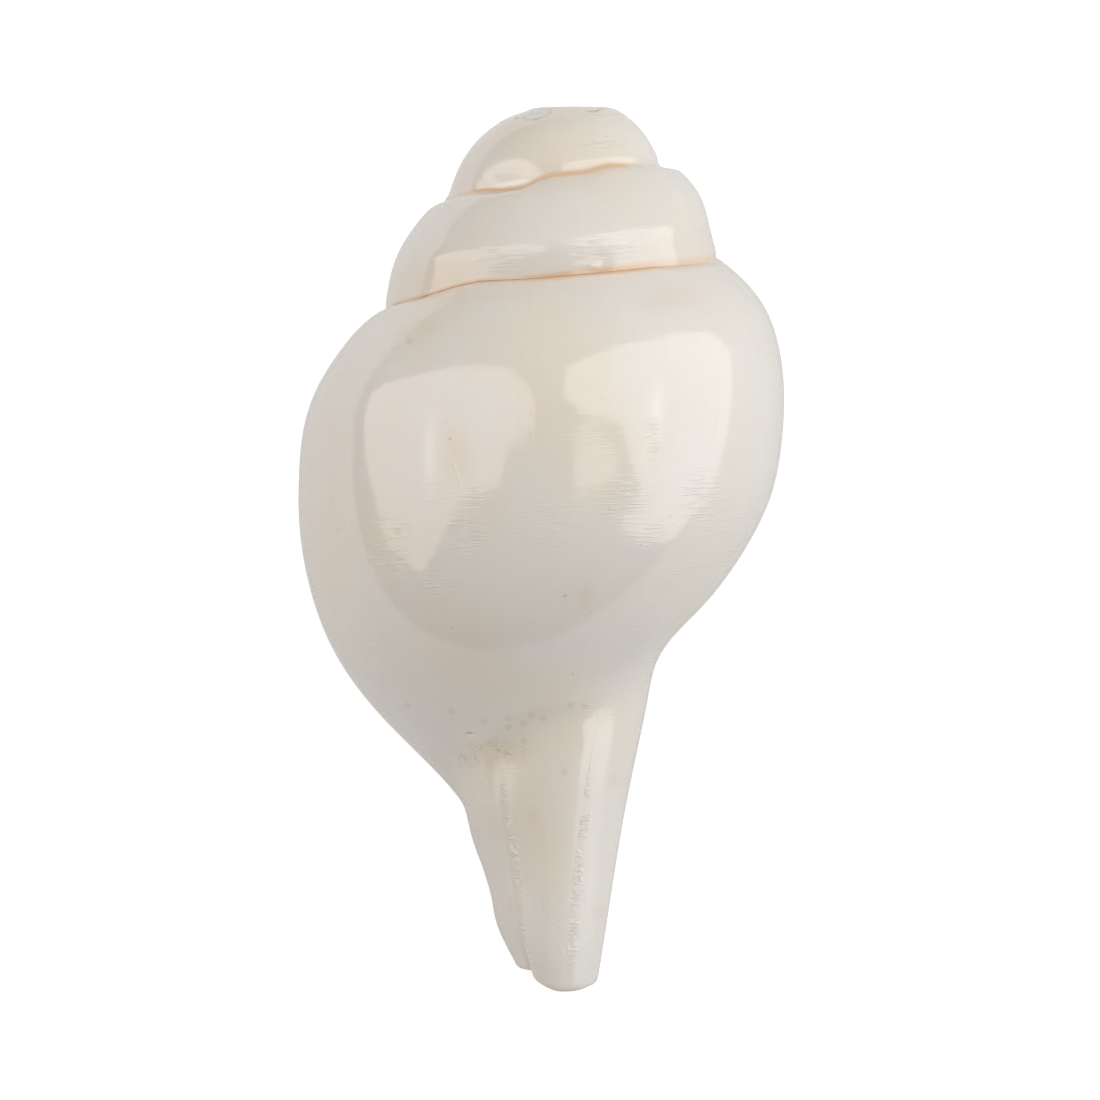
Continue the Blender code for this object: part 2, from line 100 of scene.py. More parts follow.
# Siphonal canal, below the corner
CANAL_LEFT = ((13.8, 125.5), (12.0, 131.0), (10.4, 136.5))
CANAL_RIGHT = ((12.4, 107.5), (9.9, 119.5), (7.7, 132.0))
CANAL_THIN = 0.93         # extra thinning of the columella in older turns
TIP_SHOULDER = (8.3, 5.6)  # radius just above the end, left and right
TIP_RADIUS = (7.0, 5.2)   # radius of the end, left and right
TIP_ROUND = 2.5           # height of the rounded end
END_MIDDLE = 86.0         # angle of the end's lowest point
END_SPREAD = (35.0, 58.0)  # degrees from there at which it has risen by 1, left and right
END_MOST = (3.4, 1.1)     # most that it rises, left and right
RISE_ROUND = 0.8          # rounding where it stops rising
LOBE_ANGLE = 139.0        # past this angle the canal is a lobe that stops short
LOBE_STEP = 10.0          # degrees over which the end rises to the lobe's
NOTCH_ANGLE = LIP_ANGLE - 180.0  # how far round the canal's channel cuts into the end

# The hollow, its wall and its edges
CANAL_WALL = 1.9          # wall at the end of the canal
CHANNEL_SLANT = 0.61      # rise of the channel's blind edge, mm for each degree back
CHANNEL_CORNER = 0.985    # its depth further back, over the depth of the outline's corner
CHANNEL_ROUND = 6.0       # rounding between those two parts of it
WALL_THINS = 0.9          # where the wall starts to thin, over the depth of the corner
LIP_TAPER = 24.0          # degrees over which the wall thins to the lip's edge
BOW_FADE = 70.0           # degrees over which the growth lines take up the lip's bow
LEAST_GAP = 0.9           # narrowest clear width of the hollow before its rounding
ROOF_ROUND = 2.5          # rounding under the suture at size 1
CHANNEL_EDGE = 7.0        # height over which the channel closes
END_ROUND = 45.0          # degrees over which the hollow closes at its deep end
END_OPEN = 3.0            # degrees by which its end stays open, for the cap
END_BULGE = 2.0           # widest band that counts for the rounding of the canal's end
SLOPE_NUDGE = 0.4         # half the depth over which the wall's slope is taken
SLOPE_LIMIT = 1.6         # most slant length for one of depth

# Ridges on the columella
FOLDS = 3
FOLD_START = 117.0        # depth of the first ridge at size 1
FOLD_PITCH = 9.5          # spacing at size 1
FOLD_WIDTH = 2.9          # half width of a ridge where it falls to 1/e
FOLD_HEIGHT = 2.4
FOLD_FADE = 80.0          # degrees over which a ridge dies away outside the aperture

# Ground and worn apex: a dome about a point on the axis
DOME_CENTRE = 32.0        # depth of that point
DOME_SIDE = 13.3          # reach of the dome's side at the shell's back,
SIDE_SWING = 0.2          # and this much more on the right and less on the left
DOME_RIM = 30.0           # from this polar angle the reach grows,
DOME_FLARE = 0.039        # by this much for each degree at the shell's back,
FLARE_SWING = 0.026       # and this much more on the left and less on the right
DOME_SKIRT = 81.5         # from this polar angle it grows with the square,
SKIRT_SWING = 6.5         # starting later on the left and earlier on the right
SKIRT_RISE = 0.12
FLAT_ROUND = 0.6          # rounding between the flat and the side
WEAR_ROUND = 1.6          # rounding between the dome and the unworn whorls
GRIND_END = -180.0        # unrolled angle where the wear starts to fade
GRIND_FADE = 80.0
GRIND_LIFT = 8.0          # how far the dome lifts off the shell as the wear fades
FLAT_EDGE = 20.0          # polar angle of the apex flat's rim

# Mesh counts
RIBBON_REACH = 1296.0     # how many degrees the outer ribbon reaches back from the lip
RIBBON_ROWS = 34          # rows between two sutures
FOOT_ROWS = 6             # rows across the edge of the wall
BASE_ROWS = (16, 26, 16)  # rows from the foot of the wall to the folds, past them, to the end
FOLD_PLACES = (0.41, 0.64)  # shares of the way down between which the folds lie
CROWD = 0.6               # how strongly the ribbon's rows crowd at the sutures
CAP_ROWS = 10             # rings on the ground flat and its rim
LIP_TURN = 7.0            # the last seventh of the lip's rows turns down to the canal
END_TURN = 8.0            # and the first eighth of the canal end's rows turns with it
FINE = 400                # samples used to look up the outline by depth
MERGE = 2e-6              # metres; joins the strips' shared edges


def smooth_step(value):
    """0 below 0, 1 above 1, and a smooth S between."""
    t = np.clip(value, 0.0, 1.0)
    return t * t * (3.0 - 2.0 * t)


def smooth_min(a, b, width):
    """The smaller of a and b, with the corner rounded over width."""
    h = np.maximum(width - np.abs(a - b), 0.0) / width
    return np.minimum(a, b) - h * h * width / 4.0


def quarter_round(value):
    """Rises from 0 at 0 to 1 at 1 as a quarter of a circle."""
    t = 1.0 - np.clip(value, 0.0, 1.0)
    return np.sqrt(1.0 - t * t)


def row_interp(x, known, values):
    """Linear interpolation row by row: each row's values at x, between its rising known."""
    index = (x[:, :, None] >= known[:, None, :]).sum(axis=2) - 1
    index = np.clip(index, 0, known.shape[1] - 2)
    left = np.take_along_axis(known, index, 1)
    right = np.take_along_axis(known, index + 1, 1)
    share = np.clip((x - left) / np.maximum(right - left, 1e-9), 0.0, 1.0)
    low = np.take_along_axis(values, index, 1)
    high = np.take_along_axis(values, index + 1, 1)
    return low + (high - low) * share


def spline_matrix(knots, places):
    """Matrix that takes values at the knots to a natural cubic spline at the places.

    Inside each span the curve is the straight line plus the two bends, each bend times
    the cube of its share less the share, where the bends make the slope continuous.
    """
    count = len(knots)
    gap = np.diff(knots)
    bend_left = np.eye(count)
    bend_right = np.zeros((count, count))
    for i in range(1, count - 1):
        bend_left[i, i - 1:i + 2] = gap[i - 1], 2.0 * (gap[i - 1] + gap[i]), gap[i]
        bend_right[i, i - 1:i + 2] = 6.0 / gap[i - 1], -6.0 / gap[i - 1] - 6.0 / gap[i], 6.0 / gap[i]
    bend = np.linalg.solve(bend_left, bend_right)
    span = np.clip(np.searchsorted(knots, places, side="right") - 1, 0, count - 2)
    b = (places - knots[span]) / gap[span]
    a = 1.0 - b
    unit = np.eye(count)
    straight = a[:, None] * unit[span] + b[:, None] * unit[span + 1]
    curved = (a ** 3 - a)[:, None] * bend[span] + (b ** 3 - b)[:, None] * bend[span + 1]
    return straight + curved * (gap[span] ** 2)[:, None] / 6.0


def growth(angle):
    """Size of the whorl at an unrolled angle: the growth ratio to the power of the turns."""
    return TURN_GROWTH ** ((angle - 180.0) / 360.0)


def tip_depth(angle):
    """Depth of the canal's end: an arc that rises with the square, and the left lobe."""
    past = (angle - END_MIDDLE + 180.0) % 360.0 - 180.0
    spread = np.where(past > 0.0, *END_SPREAD)
    left, right = END_MOST
    most = right + (left - right) * (1.0 - np.cos(np.radians(angle))) / 2.0
    arc = smooth_min((past / spread) ** 2, most, RISE_ROUND)
    lobe = smooth_step((past + END_MIDDLE - LOBE_ANGLE) / LOBE_STEP + 0.5)
    return TIP_DEPTH - arc - (most - arc) * lobe


def outline_points(angle):
    """Control points of the outline at each angle, shape (angles, points, 2).

    The whorl's points scale with growth, and swing between the left and right outlines
    with the cosine of the angle. The canal's points change by one ratio every half turn.
    """
    angle = np.asarray(angle, float)[:, None]
    to_right = (1.0 + np.cos(np.radians(angle))) / 2.0
    back = (180.0 - angle) / 180.0
    thin = CANAL_THIN ** (0.5 * np.maximum(back - 1.0, 0.0) ** 2)
    both = []
    for axis in (0, 1):
        left, right = np.array(WHORL_LEFT)[:, axis], np.array(WHORL_RIGHT)[:, axis]
        whorl = left * growth(angle) * (right / (left * growth(0.0))) ** to_right
        left, right = np.array(CANAL_LEFT)[:, axis], np.array(CANAL_RIGHT)[:, axis]
        both.append([whorl, left * (right / left) ** back])
    left, right = np.array([TIP_SHOULDER, TIP_RADIUS]).T
    end = tip_depth(angle)
    radius = np.concatenate([both[0][0], both[0][1] * thin, left * (right / left) ** back], axis=1)
    depth = np.concatenate([both[1][0], both[1][1], end - TIP_ROUND, end], axis=1)
    return np.stack([radius, depth], axis=2)


def outline_knots():
    """Distances along the outline at the shell's back, the knots of every outline."""
    points = outline_points([90.0])[0]
    steps = np.hypot(*np.diff(points, axis=0).T)
    return np.concatenate([[0.0], np.cumsum(steps)])


KNOTS = outline_knots()
AT_NEXT = KNOTS[NEXT_SUTURE]
AT_END = KNOTS[-1]


def fold_height(angle, depth):
    """Height of the spiral ridges on the columella: a row of bell curves down the depth."""
    size = growth(angle)
    inside = 1.0 - smooth_step((angle - LIP_ANGLE + 360.0) / FOLD_FADE)
    ridges = 0.0
    for i in range(FOLDS):
        ridges = ridges + np.exp(-((depth / size - FOLD_START - i * FOLD_PITCH) / FOLD_WIDTH) ** 2)
    return FOLD_HEIGHT * size * inside * ridges


def outline(angle, places):
    """Radius and depth of the outer face, shape (angles, places).

    Each outline is the cubic spline through its control points. places is one row for
    every angle, or a table with a row for each.
    """
    angle = np.asarray(angle, float)
    points = outline_points(angle)
    places = np.asarray(places, float)
    weights = spline_matrix(KNOTS, places.ravel())
    if places.ndim == 1:
        face = weights @ points
    else:
        face = np.einsum("apk,akc->apc", weights.reshape(*places.shape, len(KNOTS)), points)
    radius, depth = face[..., 0], face[..., 1]
    return radius + fold_height(angle[:, None], depth), depth


def foot_place():
    """Place on the outline where the following whorl's wall ends inside."""
    places = np.linspace(0.0, AT_END, FINE)
    _, depth = outline([180.0], places)
    return float(np.interp(FOOT_DEPTH, depth[0], places))


AT_FOOT = foot_place()


def ribbon_shares():
    """Shares of the way between two sutures, an even row bent to crowd at both ends."""
    even = np.linspace(0.0, 1.0, RIBBON_ROWS + 1)
    return (1.0 - CROWD) * even + CROWD * (1.0 - np.cos(math.pi * even)) / 2.0


def base_shares():
    """Shares of the way from the foot of the wall to the end, closer over the folds."""
    first, last = FOLD_PLACES
    parts = [np.linspace(0.0, first, BASE_ROWS[0] + 1)[:-1],
             np.linspace(first, last, BASE_ROWS[1] + 1)[:-1],
             np.linspace(last, 1.0, BASE_ROWS[2] + 1)]
    return np.concatenate(parts)


def base_places():
    """Places of the rows below the following suture's line, foot of the wall first."""
    foot = np.linspace(AT_NEXT, AT_FOOT, FOOT_ROWS + 1)[:-1]
    return np.concatenate([foot, AT_FOOT + (AT_END - AT_FOOT) * base_shares()])


def look_up(angle, depth, want):
    """Outline radius (want='radius') or place at given depths, shape (angles, depths)."""
    places = np.linspace(0.0, AT_END, FINE)
    radius, deep = outline(angle, places)
    values = radius if want == "radius" else np.broadcast_to(places, radius.shape)
    return row_interp(depth, deep, values)


def steepness(angle, depth):
    """Slant length over depth of the outer face, limited on the shoulder."""
    above = look_up(angle, depth - SLOPE_NUDGE, "radius")
    below = look_up(angle, depth + SLOPE_NUDGE, "radius")
    slope = (below - above) / (2.0 * SLOPE_NUDGE)
    return np.minimum(np.hypot(1.0, slope), SLOPE_LIMIT)


def grind(polar, reach, angle, wear_angle):
    """Wear the spire down to a flat-topped dome where wear_angle is early."""
    to_right = np.cos(np.radians(angle))
    flat = (DOME_CENTRE - APEX_DEPTH) / np.maximum(np.cos(np.radians(polar)), 0.05)
    flare = (DOME_FLARE - FLARE_SWING * to_right) * np.maximum(polar - DOME_RIM, 0.0)
    skirt = np.maximum(polar - DOME_SKIRT + SKIRT_SWING * to_right, 0.0)
    side = DOME_SIDE + SIDE_SWING * to_right + flare + SKIRT_RISE * skirt ** 2
    dome = smooth_min(flat, side, FLAT_ROUND)
    dome = dome + GRIND_LIFT * smooth_step((wear_angle - GRIND_END) / GRIND_FADE)
    return smooth_min(reach, dome, WEAR_ROUND)


def wander(radius, depth, angle, across):
    """Let the seam wander up and down from its spiral, and the faces beside it follow."""
    for seam_angle, share in ((angle, across), (angle + 360.0, 1.0 - across)):
        rise = np.interp(seam_angle, SEAM_ANGLES, SEAM_RISE)
        rise = rise * np.exp(-(AT_NEXT * share * growth(angle) / SEAM_REACH) ** 2)
        depth = depth - rise
        slide = SEAM_SLIDE + SLIDE_SWING * np.maximum(np.cos(np.radians(angle)), 0.0)
        radius = radius + slide * np.maximum(-rise, 0.0)
    return radius, depth


def to_polar(radius, depth):
    """Polar angle and reach about the dome's centre."""
    height = DOME_CENTRE - depth
    return np.degrees(np.arctan2(radius, height)), np.hypot(radius, height)


def from_polar(polar, reach):
    """Radius and depth from polar angle and reach."""
    turn = np.radians(polar)
    return reach * np.sin(turn), DOME_CENTRE - reach * np.cos(turn)


def bow(angle, depth, top):
    """Angle of a point, where the lip bows forward as a half wave from suture to tip."""
    along = np.clip((depth - top) / (tip_depth(angle) - top), 0.0, 1.0)
    near = smooth_step((angle - LIP_ANGLE) / BOW_FADE + 1.0)
    return angle + LIP_BOW * near * np.sin(math.pi * along)


def place(radius, depth, angle):
    """Points in the shell's frame, mm: the radius turned by the angle, and the lean.

    The lean grows with the cube of the height above its start.
    """
    turn = np.radians(angle)
    along = FULL_DEPTH - depth
    height = FULL_DEPTH - APEX_DEPTH - LEAN_START
    lean = SPIRE_LEAN * (np.maximum(along - LEAN_START, 0.0) / height) ** 3
    return np.stack([radius * np.cos(turn) + lean, along, radius * np.sin(turn)], axis=-1)


def lip_forward():
    """Direction in which the lip grows on."""
    turn = math.radians(LIP_ANGLE)
    return np.array([-math.sin(turn), 0.0, math.cos(turn)])


# Fine shape that the plain outline leaves out
CALLUS_SPREAD = 34.0      # degrees that the mouth's glaze reaches round the outside
SEAM_WORN = -300.0        # unrolled angle of the seam before which its colour is worn off
SEAM_WEARS = 100.0        # degrees over which it goes
WORN_AWAY = 8.0           # distance that is added to a worn seam's, so that nothing shows
SINK = 0.12               # how far the seam is sunk into the shell
SINK_WIDTH = 0.9
SINK_FADE = 20.0          # degrees over which the sinking fades at its ends
SINK_OLDER = 80.0         # degrees by which the sinking outlasts the seam's colour
SWELL = 0.9               # swelling of the whorl above the newest seam, its height over it,
SWELL_AT = 4.3            # and its width
SWELL_WIDTH = 2.7
SWELL_FROM = 15.0         # angles of the newest seam between which it lies
SWELL_TO = 170.0
SWELL_FADE = 45.0
NO_SUTURE = 60.0          # distance that stands for no seam or groove near
SPIRAL_ARC = 600.0        # length wound up to size 1, round the widest line
LEDGE = 0.10              # narrow ledge under the newest seam, its height, place and width
LEDGE_AT = 1.6
LEDGE_WIDTH = 0.55
LEDGE_FROM = 25.0         # angle after which it lies
GROOVES = ((131.0, 139.5, 0.35), (71.0, 86.0, 0.06))  # carved lines down the canal: angle
                          # at the top and at the end, and depth
GROOVE_TOP = 116.0        # depth where they start
GROOVE_FADE = 8.0
GROOVE_WIDTH = 0.55
GROOVE_START = 0.02       # above the grooves, distances to them count 50 times

# Shallow scoops where a knock or the wheel took some shell, and one low bump: centre,
# facing, half length, half width, depth (less than 0 for the bump). They lie along +X.
SCOOPS = (
    ((-3.8, 128.9, 6.9), (-0.25, 0.85, 0.45), 2.5, 1.5, 0.35),
    ((4.3, 129.5, 6.4), (0.16, 0.90, 0.41), 1.2, 0.9, 0.25),
    ((4.3, 106.4, 22.8), (0.22, 0.10, 0.97), 0.9, 0.6, -0.35),
    ((-8.1, 120.1, 13.2), (-0.47, 0.33, 0.82), 4.8, 2.2, 0.18),
)
SCOOP_RIM = 0.08          # share of the scoop's way out over which its rim is rounded


def columns(first, last, step):
    """Unrolled angles from first to last, step apart."""
    return np.linspace(first, last, round((last - first) / step) + 1)


def strip(points, angle, places, suture=NO_SUTURE, inside=0.0, groove=NO_SUTURE):
    """A strip of the skin: its points and what its material reads there.

    The map is the length wound round the shell and the length down the outline, both mm.
    """
    shape = points.shape[:2]
    size = growth(angle)
    return {"points": points,
            "around": np.broadcast_to(SPIRAL_ARC * size, shape),
            "down": np.broadcast_to(places * size, shape),
            "suture": np.broadcast_to(suture, shape),
            "inside": np.broadcast_to(inside, shape),
            "groove": np.broadcast_to(groove, shape)}


def seam_distance(angle, places):
    """Distance to the nearer seam, mm: the one above, and the one below where a whorl follows.

    A seam that is older than SEAM_WORN has no colour left, so it counts as far away.
    """
    above = places * growth(angle)
    below = np.abs(AT_NEXT - places) * growth(angle)
    worn = [WORN_AWAY * smooth_step((SEAM_WORN - a) / SEAM_WEARS) for a in (angle, angle + 360.0)]
    followed = angle <= LIP_ANGLE - 360.0
    return np.where(followed, np.minimum(above + worn[0], below + worn[1]), above)


def soften_seam(radius, depth, angle, across):
    """Sink the seam, swell the whorl just above the newest one, and raise a ledge under it.

    All follow bell curves of the distance to the seam. A seam is sunk half as far down as
    it is sunk in. The swelling keeps to the back.
    """
    for seam_angle, share in ((angle, across), (angle + 360.0, 1.0 - across)):
        there = smooth_step((LIP_ANGLE - seam_angle) / SINK_FADE)
        there = there * smooth_step((seam_angle - SEAM_WORN + SINK_OLDER) / SINK_FADE)
        near = there * np.exp(-(AT_NEXT * share * growth(angle) / SINK_WIDTH) ** 2)
        radius = radius - SINK * near
        depth = depth + SINK / 2.0 * near
    newest = angle + 360.0
    there = smooth_step((newest - SWELL_FROM) / SWELL_FADE)
    there = there * smooth_step((SWELL_TO - newest) / SWELL_FADE)
    away = (AT_NEXT * (1.0 - across) * growth(angle) - SWELL_AT) / SWELL_WIDTH
    radius = radius + SWELL * there * np.exp(-away ** 2)
    away = (AT_NEXT * across * growth(angle) - LEDGE_AT) / LEDGE_WIDTH
    there = smooth_step((angle - LEDGE_FROM) / SINK_FADE) * smooth_step((LIP_ANGLE - angle) / SINK_FADE)
    return radius, depth - LEDGE * there * np.exp(-away ** 2)


def ribbon(step):
    """Outer face between sutures, one strip from the apex to the lip.

    It starts with no width on a small ring of the dome, so its first turn is a wedge:
    the rim's value and the lower edge's are blended, and the bulge between them grows.
    """
    start = LIP_ANGLE - RIBBON_REACH
    angle = columns(start, LIP_ANGLE, step)
    across = ribbon_shares()
    radius, depth = outline(angle, AT_NEXT * across)
    top = depth[:, :1]
    polar, reach = to_polar(radius, depth)
    first = round(360.0 / step)
    ring = polar[first, 0], reach[first, 0]
    grown = smooth_step((angle[:first] - start) / 360.0)[:, None]
    for field, rim in zip((polar, reach), ring):
        wedge = field[:first]
        bulge = wedge - (1.0 - across) * wedge[:, :1] - across * wedge[:, -1:]
        field[:first] = (1.0 - across) * rim + across * wedge[:, -1:] + grown * bulge
    angle = angle[:, None]
    wear_angle = angle + 360.0 * across
    radius, depth = from_polar(polar, grind(polar, reach, angle, wear_angle))
    bowed = bow(angle, depth, top)
    radius, depth = soften_seam(*wander(radius, depth, angle, across), angle, across)
    points = place(radius, depth, bowed)
    places = AT_NEXT * across + 0.0 * angle
    return strip(points, angle, places, seam_distance(angle, places)), ring[0]


def apex_cap(ring_polar, step):
    """Top of the dome: the ground flat and its rounded rim, down to the ribbon's ring.

    The dome is what is left of a ball of twice its reach, worn down fully.
    """
    angle = columns(0.0, 360.0, step) + LIP_ANGLE
    rim = np.linspace(FLAT_EDGE, ring_polar, CAP_ROWS)
    polar, angle = np.meshgrid(np.concatenate([[0.0], rim]), angle)
    unworn = np.full(polar.shape, 2.0 * DOME_SIDE)
    long_ago = 3.0 * GRIND_END
    reach = grind(polar, unworn, angle, long_ago)
    points = place(*from_polar(polar, reach), angle)
    return strip(points, angle - RIBBON_REACH, polar / ring_polar)


def base(step):
    """Outer face of the last turn, below the following suture's line, to the tip.

    Grooves of bell-shaped section run down the canal.
    """
    angle = columns(LIP_ANGLE - 360.0, LIP_ANGLE, step)
    places = base_places()
    radius, depth = outline(angle, places)
    top = outline(angle, np.zeros(1))[1]
    angle = angle[:, None]
    fall = (depth - GROOVE_TOP) / (FULL_DEPTH - GROOVE_TOP)
    carved = smooth_step((depth - GROOVE_TOP) / GROOVE_FADE)
    sunk, nearest = 0.0, np.full(depth.shape, NO_SUTURE)
    for top_angle, end_angle, groove_depth in GROOVES:
        path = top_angle + (end_angle - top_angle) * fall
        beside = np.radians(path - angle) * radius
        sunk = sunk + groove_depth * np.exp(-(beside / GROOVE_WIDTH) ** 2) * carved
        nearest = np.where(np.abs(beside) < np.abs(nearest), beside, nearest)
    nearest = nearest / np.maximum(carved, GROOVE_START)
    callus = 1.0 - smooth_step((angle - angle[0]) / CALLUS_SPREAD)
    points = place(radius - sunk, depth, bow(angle, depth, top))
    return strip(points, angle, places, places * growth(angle), callus, nearest)


def channel_bottom(angle):
    """Depths where the hollow's blind edge lies, and where its rows end."""
    slant = tip_depth(angle) - CHANNEL_SLANT * (NOTCH_ANGLE - angle)
    main = outline_points(angle)[:, CORNER - 1, 1] * CHANNEL_CORNER
    blind = -smooth_min(-slant, -main, CHANNEL_ROUND)
    return blind, np.minimum(blind, tip_depth(angle))


def hollow(step, wall_mm, lip_wall_mm):
    """Both sides of the hollow: under the outer wall, and over the previous whorl.

    The wall's thickness follows the growth and thins to the canal's end and to the lip.
    The gap closes as a quarter round at the seam, at the channel and at the deep end.
    """
    angle = columns(LIP_ANGLE - HOLLOW_ANGLE, LIP_ANGLE, step)
    blind, bottom = channel_bottom(angle)
    closed = angle <= NOTCH_ANGLE + 1e-6

    inner_end = look_up(angle - 360.0, bottom[:, None], "place")[:, 0]
    inner_end[~closed] = AT_END
    inner_end[angle > NOTCH_ANGLE - 0.5 * step] = AT_END
    places = AT_FOOT + (inner_end - AT_FOOT)[:, None] * base_shares()
    inner_radius, inner_depth = outline(angle - 360.0, places)

    rows = np.concatenate([AT_NEXT * ribbon_shares()[:-1], base_places()])
    _, lip_depth = outline([LIP_ANGLE], rows)
    share = (lip_depth[0] - lip_depth[0, 0]) / (lip_depth[0, -1] - lip_depth[0, 0])
    top = inner_depth[:, :1]
    depth = top + (bottom[:, None] - top) * share

    size = growth(angle)[:, None]
    corner = outline_points(angle)[:, CORNER, 1][:, None]
    down = smooth_step((depth - WALL_THINS * corner) / (FULL_DEPTH - WALL_THINS * corner))
    wall = wall_mm * size * (1.0 - down) + CANAL_WALL * down
    near_lip = smooth_step((angle - LIP_ANGLE) / LIP_TAPER + 1.0)[:, None]
    wall = wall * (1.0 - near_lip) + np.minimum(wall, lip_wall_mm) * near_lip
    under = look_up(angle, depth, "radius") - wall * steepness(angle, depth)
    over = row_interp(depth, inner_depth, inner_radius)
    gap = np.maximum(under - over, LEAST_GAP)
    gap = gap * quarter_round((depth - top) / (ROOF_ROUND * size))
    gap = gap * quarter_round((blind[:, None] - depth) / CHANNEL_EDGE)
    gap = gap * quarter_round((angle - angle[0] + END_OPEN) / END_ROUND)[:, None]
    turned = bow(angle[:, None], depth, top)

    outer_side = place(over + gap, depth, turned)
    inner_side = place(inner_radius, inner_depth, angle[:, None] + 0.0 * inner_depth)
    outer_side[:, 0] = inner_side[:, 0]
    outer_side[closed, -1] = inner_side[closed, -1]
    angle = angle[:, None]
    return (strip(outer_side, angle, rows, inside=1.0),
            strip(inner_side, angle - 360.0, places, inside=1.0))


def edge_band(outer, inner, width, turn):
    """Half-round strip from the outer edge to the inner edge, turned from forward to down."""
    out = np.cos(turn)[:, None] * lip_forward() - np.sin(turn)[:, None] * np.array([0.0, 1.0, 0.0])
    around = np.linspace(0.0, math.pi, FOOT_ROWS + 1)[None, :, None]
    near = (1.0 + np.cos(around)) / 2.0
    straight = outer[:, None] * near + inner[:, None] * (1.0 - near)
    return straight + (0.5 * width * out)[:, None] * np.sin(around)


def lip(outer, inner, foot):
    """Rounded edge of the lip, from the suture down to the canal's end."""
    width = np.linalg.norm(outer - inner, axis=1, keepdims=True)
    turn = math.pi / 4.0 * smooth_step(np.linspace(1.0 - LIP_TURN, 1.0, len(outer)))
    band = edge_band(outer, inner, width, turn)
    band[0] = foot
    down = AT_END * np.linspace(0.0, 1.0, len(outer))[:, None]
    return strip(band, LIP_ANGLE, down, inside=np.linspace(0.0, 1.0, FOOT_ROWS + 1))


def canal_end(outer, inner):
    """Rounded end of the canal, round its wall and across the columella."""
    width = np.linalg.norm(outer - inner, axis=1, keepdims=True)
    turn = math.pi / 4.0 * (1.0 + smooth_step(np.linspace(0.0, END_TURN, len(outer))))
    band = edge_band(outer, inner, np.minimum(width, END_BULGE), turn)
    angle = np.linspace(LIP_ANGLE, LIP_ANGLE - 360.0, len(outer))[:, None]
    return strip(band, angle, AT_END, inside=np.linspace(0.0, 1.0, FOOT_ROWS + 1))


def scoop(points, centre, facing, half_length, half_width, depth):
    """Press an oval hollow into the points: its depth falls with the square to the rim."""
    facing = np.array(facing) / np.linalg.norm(facing)
    across = np.cross([1.0, 0.0, 0.0], facing)
    across /= np.linalg.norm(across)
    away = points - np.array(centre)
    length, width, height = away @ np.cross(facing, across), away @ across, away @ facing
    square = (length / half_length) ** 2 + (width / half_width) ** 2
    pressed = -smooth_min(square - 1.0, 0.0, SCOOP_RIM)
    pressed = np.where(np.abs(height) < half_length, pressed, 0.0)
    return points - (depth * pressed)[:, None] * facing


def shell_strips(sizes):
    """All strips of the shell's closed skin, and the loop that the deep end's cap closes."""
    step = sizes.column_degrees
    outside, ring_polar = ribbon(step)
    lower = base(step)
    outer_side, inner_side = hollow(step, sizes.wall * 1000.0, sizes.lip_wall * 1000.0)
    half_turn = round(180.0 / step)
    skin, under, deep, over = (s["points"] for s in (outside, lower, outer_side, inner_side))

    lip_outer = np.concatenate([skin[-1], under[-1, 1:]])
    lip_band = lip(lip_outer, deep[-1], under[0, :FOOT_ROWS + 1])
    ring = under[::-1, -1]
    notch = np.concatenate([deep[::-1, -1][:half_turn + 1], over[len(over) - half_turn:, -1]])
    end_band = canal_end(ring, notch)
    end_band["points"][0] = lip_band["points"][-1]
    end_band["points"][-1] = ring[-1]
    strips = [outside, apex_cap(ring_polar, step), lower, outer_side, inner_side, lip_band, end_band]
    return strips, np.concatenate([deep[0], over[0, -2:0:-1]])


def grid_faces(shape, first):
    """Quads of a grid of points that are numbered row by row from first."""
    index = first + np.arange(shape[0] * shape[1]).reshape(shape[:2])
    corners = index[:-1, :-1], index[:-1, 1:], index[1:, 1:], index[1:, :-1]
    return np.stack(corners, axis=-1).reshape(-1, 4)


def rest_turn():
    """Rotation from the shell's frame to the floor's: the roll, then the pitch."""
    roll = Matrix.Rotation(math.radians(REST_ROLL), 3, "Y")
    pitch = Matrix.Rotation(math.radians(REST_PITCH), 3, "X")
    return pitch @ roll


def lay_down(points):
    """Turn points of the shell's frame to its rest, and set them where the solid stands."""
    low, high = (np.array(corner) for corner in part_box(NODE))
    turned = points * MM @ np.array(rest_turn()).T
    least, most = turned.min(axis=0), turned.max(axis=0)
    shift = (low + high - least - most) / 2.0
    shift[2] = low[2] - least[2]
    return turned + shift


def add_attribute(mesh, name, kind, values):
    """Put one value for each point into a named attribute of the mesh."""
    layer = mesh.attributes.new(name, kind, "POINT")
    field = "vector" if kind == "FLOAT_VECTOR" else "value"
    layer.data.foreach_set(field, np.ascontiguousarray(values, np.float32).ravel())


